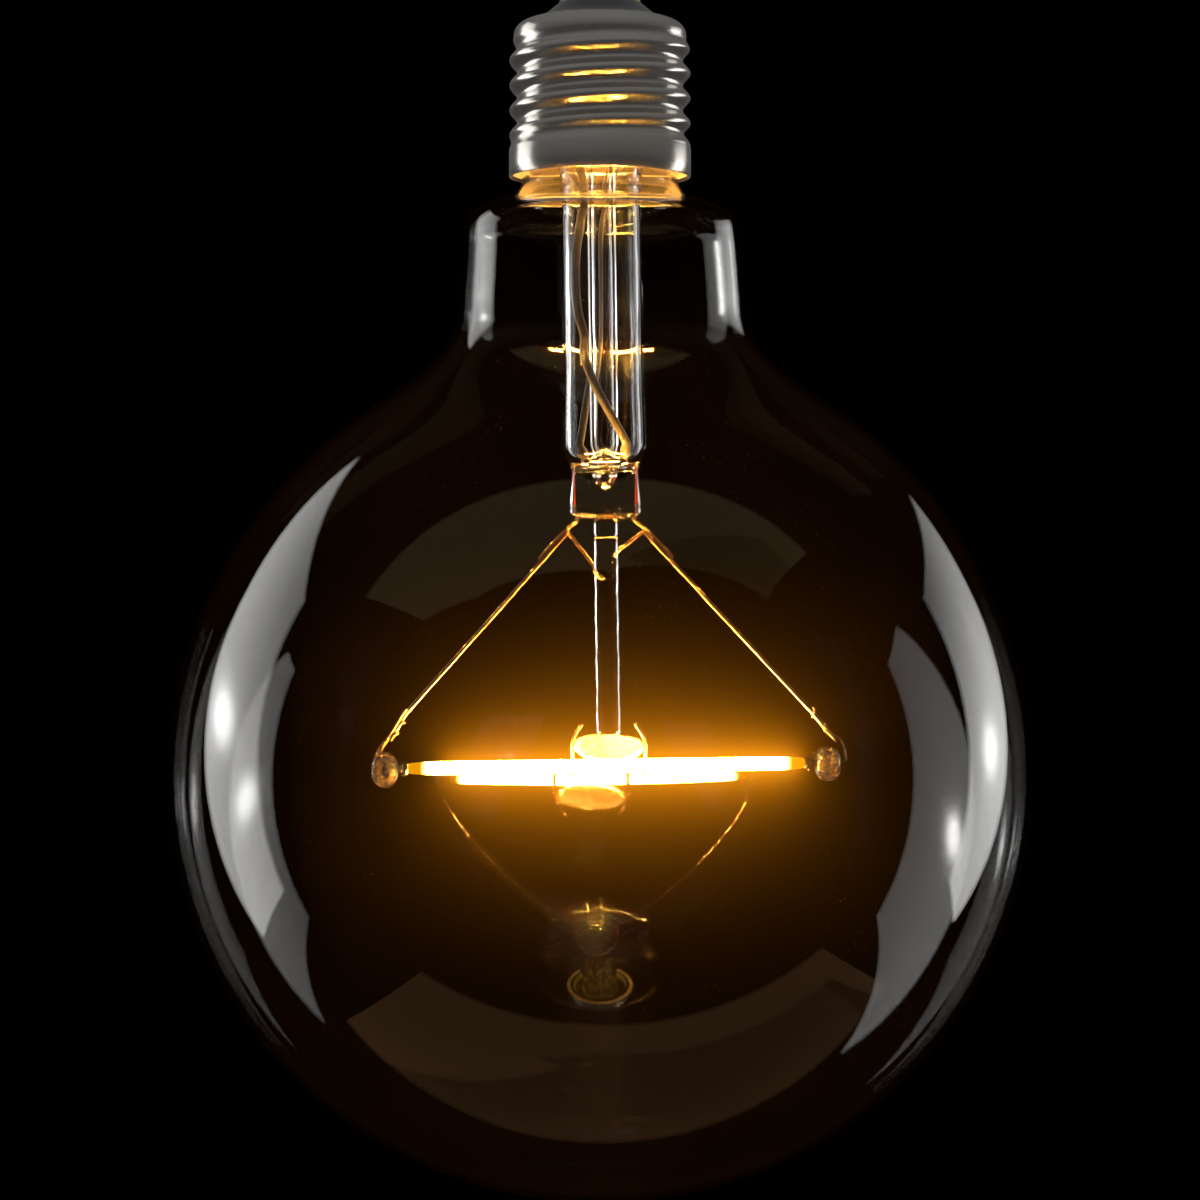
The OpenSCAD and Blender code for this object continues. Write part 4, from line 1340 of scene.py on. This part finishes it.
@dataclass
class Cap:
    """The screw cap: its rolled shell, its cement, its black glass and its contact."""

    band_r: float = 13.2
    band_h: float = 4.2
    crest_r: float = 13.15
    root_r: float = 12.05
    pitch: float = 3.629
    thread_top: float = 20.4
    wall: float = 0.35
    sides: int = 144
    rows: int = 150

    def thread_r(self, z: float, turn: np.ndarray) -> np.ndarray:
        """The thread's radius at a height.

        Args:
            z: The height.
            turn: The share of a turn, for each point of the ring.

        Returns:
            The radius of each point.
        """
        rise, run = z - self.band_h, self.thread_top - self.band_h
        fade_in, fade_out = min(1.0, rise / 2.2), min(1.0, (run - rise) / 2.2)
        wave = np.cos(2 * np.pi * (rise / self.pitch - turn))
        swing = (self.crest_r - self.root_r) / 2
        middle = (self.crest_r + self.root_r) / 2
        base = (self.band_r - 0.05) * (1 - fade_in) + fade_in * (middle + swing * fade_out * wave)
        return base - (1 - fade_out) * 0.06

    def thread_ring(self, z: float, inset: float) -> np.ndarray:
        """One ring of the rolled sheet.

        Args:
            z: Its height.
            inset: How far inside the outer face it lies.

        Returns:
            The ring.
        """
        share = np.linspace(0, 1, self.sides, endpoint=False)
        r = self.thread_r(z, share) - inset
        return np.stack([r * np.cos(2 * np.pi * share), r * np.sin(2 * np.pi * share), 0 * r + z], 1)

    def build_shell(self) -> None:
        """The shell: a plain band, the thread and the turned-in edge, as one sheet."""
        top, top_r = self.thread_top, (self.crest_r + self.root_r) / 2 - 0.06
        turned = cubic([(top_r, top), (top_r, top + 1.7), (11, 22.7), (9.4, 22.9)], 14)
        heights = np.linspace(self.band_h, top, self.rows)
        band_top = self.band_h - 0.1
        band = ((self.band_r - 0.12, 0.0), (self.band_r, 0.12), (self.band_r, 2.0), (self.band_r, band_top))
        outer = [circle((0, 0, z), r, self.sides) for r, z in band]
        outer += [self.thread_ring(z, 0.0) for z in heights]
        outer += [circle((0, 0, z), r, self.sides) for r, z in turned]
        inner = [circle((0, 0, z - 0.33), r - 0.1, self.sides) for r, z in turned[::-1]]
        inner += [self.thread_ring(z, self.wall) for z in heights[::-1]]
        inner += [circle((0, 0, z), self.band_r - self.wall, self.sides) for z in (band_top, 0.0)]
        skin = Skin()
        skin.tube([*outer, *inner], True)
        nickel = Metal(
            "shell_nickel",
            colour=(0.78, 0.76, 0.72),
            roughness=0.2,
            scale=700.0,
            stretch=(1, 1, 3.0),
            tarnish=(0.66, 0.62, 0.55),
            relief=0.00002,
        )
        place(skin, "threaded_shell", nickel, "shell_nickel", "screw_shell")

    def build(self) -> None:
        """Makes the shell and dresses the cap's other pieces."""
        self.build_shell()
        dress("cap_cement", Solid("cement", (0.84, 0.81, 0.74), (0.7, 0.66, 0.58), 0.85, 700.0, 0.0001))
        black = Solid(
            "black_glass",
            (0.03, 0.03, 0.035),
            (0.02, 0.02, 0.022),
            roughness=0.12,
            scale=300.0,
            relief=0.00003,
            coat=0.6,
        )
        dress("cap_insulator", black)
        dress("contact_plate", Metal("contact_brass", (0.83, 0.62, 0.3), 0.28, 0.14))
        solder = Metal(
            "solder", (0.72, 0.72, 0.72), 0.3, 0.2, scale=500.0, tarnish=(0.5, 0.5, 0.52), relief=0.00006
        )
        dress("contact_solder", solder)


class Circuit:
    """The circuit that the cap hides."""

    def build(self) -> None:
        """Dresses the board and what is on it."""
        moulding = Solid("black_moulding", (0.05, 0.05, 0.055), (0.03, 0.03, 0.03), 0.6)
        dress("driver_board", Solid("board_laminate", (0.07, 0.3, 0.14), (0.04, 0.2, 0.09), 0.35, 900.0))
        dress("bridge_rectifier", moulding)
        dress("driver_chip", moulding)
        dress("smoothing_capacitor", Solid("can_sleeve", (0.06, 0.07, 0.14), (0.04, 0.04, 0.09), 0.3))
        dress("fusible_resistor", Solid("resistor_body", (0.25, 0.42, 0.52), (0.18, 0.34, 0.44), 0.45))
        dress("resistor_sleeve", Solid("shrink_sleeve", (0.86, 0.86, 0.84), (0.74, 0.74, 0.72), 0.5))
        dress("side_wire", Metal("lead_copper", (0.72, 0.45, 0.3), 0.3))


@dataclass
class LightPanel:
    """A soft light panel, as four directions from the globe's middle, with a hot lamp behind it."""

    name: str
    behind: bool
    corners: tuple[Vec, Vec, Vec, Vec]
    top: float
    foot: float
    broad: float
    core: float
    core_at: tuple[float, float]
    core_size: tuple[float, float]
    bow: float = 0.0
    broad_size: tuple[float, float] = (0.6, 0.4)
    distance: float = 800.0
    steps: int = 24

    def build(self) -> None:
        """Makes the panel as a curved patch with a brighter core."""
        grid = np.linspace(0, 1, self.steps + 1)
        back_top, front_top, front_foot, back_foot = (unit(np.array(c)) for c in self.corners)
        skin = Skin()
        rows = []
        for v in grid:
            ways = []
            for u in grid:
                top = front_top + u * (back_top - front_top)
                foot = front_foot + u * (back_foot - front_foot)
                bowed = self.bow * 4 * v * (1 - v) * u * (back_top - front_top)
                ways.append(foot + v * (top - foot) + bowed)
            rows.append(skin.ring(np.array([at(0, 0, 0) + self.distance * unit(way) for way in ways])))
        for a, b in zip(rows, rows[1:]):
            skin.faces += [(a[i], a[i + 1], b[i + 1], b[i]) for i in range(self.steps)]
        made = skin.piece(self.name)
        spread = made.data.attributes.new("spread", "FLOAT_VECTOR", "POINT")
        spread.data.foreach_set("vector", np.array([(u, v, 0) for v in grid for u in grid]).ravel())
        made.data.materials.append(self.material())
        hide(made, "camera", "shadow", "volume_scatter", "diffuse")

    def hump(self, u: Value, v: Value, size: tuple[float, float], edge: float) -> Value:
        """A soft round hump, 1 at the hot place and half at the given size."""
        across, up = (u - self.core_at[0]) / size[0], (v - self.core_at[1]) / size[1]
        return 1 / (1 + (across * across + up * up) ** edge)

    def material(self) -> bpy.types.Material:
        """The panel's light, seen by reflections and by lenses of glass."""
        made = bpy.data.materials.new(self.name)
        tree = Tree(made)
        spot = tree.node("ShaderNodeAttribute", {"attribute_name": "spread"}, {})
        parts = tree.node("ShaderNodeSeparateXYZ", {}, {0: spot.outputs["Vector"]})
        u, v = tree.value(parts, 0), tree.value(parts, 1)
        hot = self.core * self.hump(u, v, self.core_size, 2.2)
        wide = self.broad * self.hump(u, v, self.broad_size, 1.5)
        level = self.foot + (self.top - self.foot) * v + wide + hot
        light = tree.shader("Emission", Color=(1.0, 0.99, 0.97), Strength=level)
        turns = tree.light_path("Glossy Depth") + tree.light_path("Transmission Depth") / 5
        straight = 1 - turns.smallest(1.0).step(0.99, 1.0)
        seen_through = tree.light_path("Is Transmission Ray") * straight
        deep = tree.light_path("Transmission Depth").step(2.5, 3.5)
        hidden = seen_through.largest(1 - deep if self.behind else deep)
        tree.surface(tree.mixed(hidden, light, tree.clear()))
        return made


@dataclass
class UnderPanel:
    """A dim panel under the lamp, which only reflections show."""

    name: str
    behind: bool
    outline: tuple[tuple[float, float], ...]
    colour: Colour
    strength: float = 0.15
    drop: float = 200.0

    def build(self) -> None:
        """Makes the panel for the reflections in the front glass, or for those in the back glass."""
        panel = Skin()
        panel.ring(np.array([(x, y, EQUATOR - self.drop) for x, y in self.outline]))
        panel.faces.append(tuple(range(len(self.outline))))
        made = panel.piece(self.name)
        material = bpy.data.materials.new(self.name)
        tree = Tree(material)
        light = tree.shader("Emission", Color=self.colour, Strength=self.strength)
        deep = tree.light_path("Transmission Depth").step(2.5, 3.5)
        shown = tree.light_path("Glossy Depth").smallest(1.0) * (deep if self.behind else 1 - deep)
        tree.surface(tree.mixed(shown, tree.clear(), light))
        made.data.materials.append(material)
        material.cycles.emission_sampling = "NONE"
        hide(made, "camera", "shadow", "diffuse")


@dataclass
class Glow:
    """The amber glow about the lit filament, as light in the air that fades with distance."""

    length: float = 52.0
    reach: float = 47.0
    strength: float = 0.95
    core: float = 2.0
    power: float = 1.4
    colour: Colour = (1.0, 0.32, 0.008)
    h: float = FILAMENT_H
    shift: float = 2.0

    def build(self) -> None:
        """Makes the space that holds the glow."""
        skin = Skin()
        turn = full_turn(32)
        rings = []
        for a in np.linspace(-np.pi / 2, np.pi / 2, 17):
            along = (self.length / 2 + 22) * math.sin(a)
            r = self.reach * math.cos(a) ** 0.7 if abs(a) < 1.57 else 0
            ring = np.stack([0 * turn + along + self.shift, r * np.cos(turn), r * np.sin(turn)], 1)
            ring[:, 2] += EQUATOR + self.h
            rings.append(leaned(ring if r else ring[:1]))
        skin.tube(rings)
        made = skin.piece("glow")
        made.data.materials.append(self.material())

    def material(self) -> bpy.types.Material:
        """Light that falls off with the square of the distance from the strip."""
        made = bpy.data.materials.new("glow")
        tree = Tree(made)
        x, y, z = tree.axes()
        middle = leaned(at(self.shift, 0, self.h)[None])[0] * METRES
        along = (x - middle[0]) / METRES
        up = (z - middle[2] - (x - middle[0]) * math.sin(STEM_LEAN)) / METRES
        depth = y / METRES
        square = up * up + depth * depth
        left, right = along + self.length / 2, along - self.length / 2
        ends = left / (left * left + square).root() - right / (right * right + square).root()
        fade = 1 - square.root().step(0.0, 0.98 * self.reach)
        density = (ends * 0.5) ** self.power / (square + self.core**2) * fade
        light = tree.shader("Emission", Color=self.colour, Strength=density * (self.strength / METRES))
        tree.node("ShaderNodeOutputMaterial", {}, {"Volume": light})
        return made


@dataclass
class Studio:
    """The floor, the lights, the dark surroundings and the camera."""

    camera_distance: float = 496.0
    camera_h: float = 25.2
    focal_px: float = 3413.0
    frame_px: float = 1200.0
    sensor: float = 36.0
    floor_depth: float = 600.0
    floor_r: float = 2300.0
    fill: float = 0.4
    sheen: float = 0.05
    panels: list[LightPanel] = field(
        default_factory=lambda: [
            LightPanel(
                "left_front_panel",
                False,
                (
                    (-0.51, 0.589, 0.627), (-0.846, 0.156, 0.51),
                    (-0.932, 0.052, -0.359), (-0.838, 0.327, -0.437),
                ),
                top=0.6, foot=1.3, broad=0.7, core=4.0, core_at=(0.66, 0.51), core_size=(0.2, 0.055),
            ),
            LightPanel(
                "left_back_panel",
                True,
                (
                    (-0.462, 0.71, 0.531), (-0.856, 0.255, 0.449),
                    (-0.909, 0.192, -0.37), (-0.822, 0.36, -0.441),
                ),
                top=0.6, foot=0.4, broad=0.3, core=8.0, core_at=(0.66, 0.552), core_size=(0.12, 0.042),
                bow=0.16,
            ),
            LightPanel(
                "right_front_panel",
                False,
                (
                    (0.519, 0.749, 0.412), (0.829, 0.337, 0.446),
                    (0.919, 0.257, -0.3), (0.831, 0.403, -0.382),
                ),
                top=0.1, foot=1.5, broad=1.0, core=3.0, core_at=(0.52, 0.478), core_size=(0.18, 0.07),
            ),
            LightPanel(
                "right_back_panel",
                True,
                (
                    (0.523, 0.716, 0.462), (0.839, 0.349, 0.417),
                    (0.895, 0.298, -0.332), (0.844, 0.392, -0.367),
                ),
                top=0.35, foot=0.5, broad=0.6, core=5.9, core_at=(0.58, 0.475), core_size=(0.22, 0.055),
                bow=0.16,
            ),
        ]
    )
    under_panels: list[UnderPanel] = field(
        default_factory=lambda: [
            UnderPanel(
                "under_panel_front",
                False,
                ((-182.0, -133.0), (256.0, -122.0), (262.0, 28.0), (-200.0, 14.0)),
                (1.0, 0.53, 0.26),
            ),
            UnderPanel(
                "under_panel_back",
                True,
                (
                    (-185.0, -47.0), (0.0, -95.0), (224.0, -70.0),
                    (247.0, 56.0), (0.0, 35.0), (-195.0, 56.0),
                ),
                (1.0, 0.8, 0.42),
            ),
        ]
    )

    def build_camera(self) -> None:
        """The camera, level and square to the lamp's axis."""
        data = bpy.data.cameras.new("camera")
        data.sensor_width = self.sensor
        data.lens = self.focal_px * self.sensor / self.frame_px
        data.clip_start = 0.01
        made = bpy.data.objects.new("camera", data)
        made.location = at(0, -self.camera_distance, self.camera_h) * METRES
        made.rotation_euler = (math.pi / 2, 0, 0)
        bpy.context.scene.collection.objects.link(made)
        bpy.context.scene.camera = made

    def build_world(self) -> None:
        """A dark room to look at, which still fills surfaces with soft light."""
        world = bpy.data.worlds.new("room")
        bpy.context.scene.world = world
        tree = Tree(world)
        seen = tree.light_path("Is Camera Ray").largest(tree.light_path("Is Transmission Ray"))
        gloss = tree.light_path("Is Glossy Ray")
        mirror = tree.light_path("Is Singular Ray")
        way = tree.node("ShaderNodeTexCoord", {}, {}).outputs["Generated"]
        up = tree.node("ShaderNodeSeparateXYZ", {}, {0: way})
        sheen = (self.sheen + 2 * self.sheen * tree.value(up, 2).step(-0.4, 1.0)) * (1 - mirror)
        level = (self.fill * (1 - gloss) + sheen * gloss) * (1 - seen)
        back = tree.shader("Background", Color=(1.0, 0.99, 0.98), Strength=level)
        tree.node("ShaderNodeOutputWorld", {}, {"Surface": back})

    def build_floor(self) -> None:
        """A pale floor well under the lamp, which fades into the dark far away."""
        z = GLOBE_LOW[2] - self.floor_depth
        skin = Skin()
        skin.tube([circle((0, 0, z), r, 64) for r in (0.0, 600.0, 1200.0, 1800.0, self.floor_r)])
        floor = skin.piece("floor")
        material = bpy.data.materials.new("floor")
        tree = Tree(material)
        x, y, _ = tree.axes()
        far = (x * x + y * y).root().step(0.9, 0.98 * self.floor_r * METRES)
        grain = tree.noise(40, 4.0)
        tone = tree.ramp(grain, [(0.3, (0.7, 0.69, 0.67)), (0.7, (0.78, 0.77, 0.75))])
        pale = tree.shader("BsdfPrincipled", Base_Color=tone, Roughness=0.7 + 0.2 * (grain - 0.5))
        tree.surface(tree.mixed(far, pale, tree.clear()))
        floor.data.materials.append(material)
        hide(floor, "glossy", "transmission")

    def set_render(self) -> None:
        """Sets the colours plain and lets light turn often enough in stacked glass."""
        scene = bpy.context.scene
        scene.view_settings.view_transform = "Standard"
        cycles = scene.cycles
        cycles.max_bounces = 32
        cycles.transmission_bounces = 32
        cycles.glossy_bounces = 12
        cycles.transparent_max_bounces = 64
        cycles.caustics_refractive = False
        cycles.caustics_reflective = False
        cycles.use_adaptive_sampling = False
        cycles.sample_clamp_indirect = 0.0
        cycles.volume_step_rate = 0.3

    def build(self) -> None:
        """Makes the whole studio."""
        self.build_camera()
        self.build_world()
        self.build_floor()
        for panel in (*self.panels, *self.under_panels):
            panel.build()
        Glow().build()
        self.set_render()


def main() -> None:
    """Builds the lamp, piece by piece, and the studio around it."""
    logging.basicConfig(level=logging.INFO, format="%(name)s %(message)s")
    Envelope().build()
    Stem().build()
    mount = Mount()
    mount.build()
    OuterLeads().build()
    Filament().build()
    Beads().build(mount)
    Cap().build()
    Circuit().build()
    Studio().build()


if __name__ == "__main__":
    main()
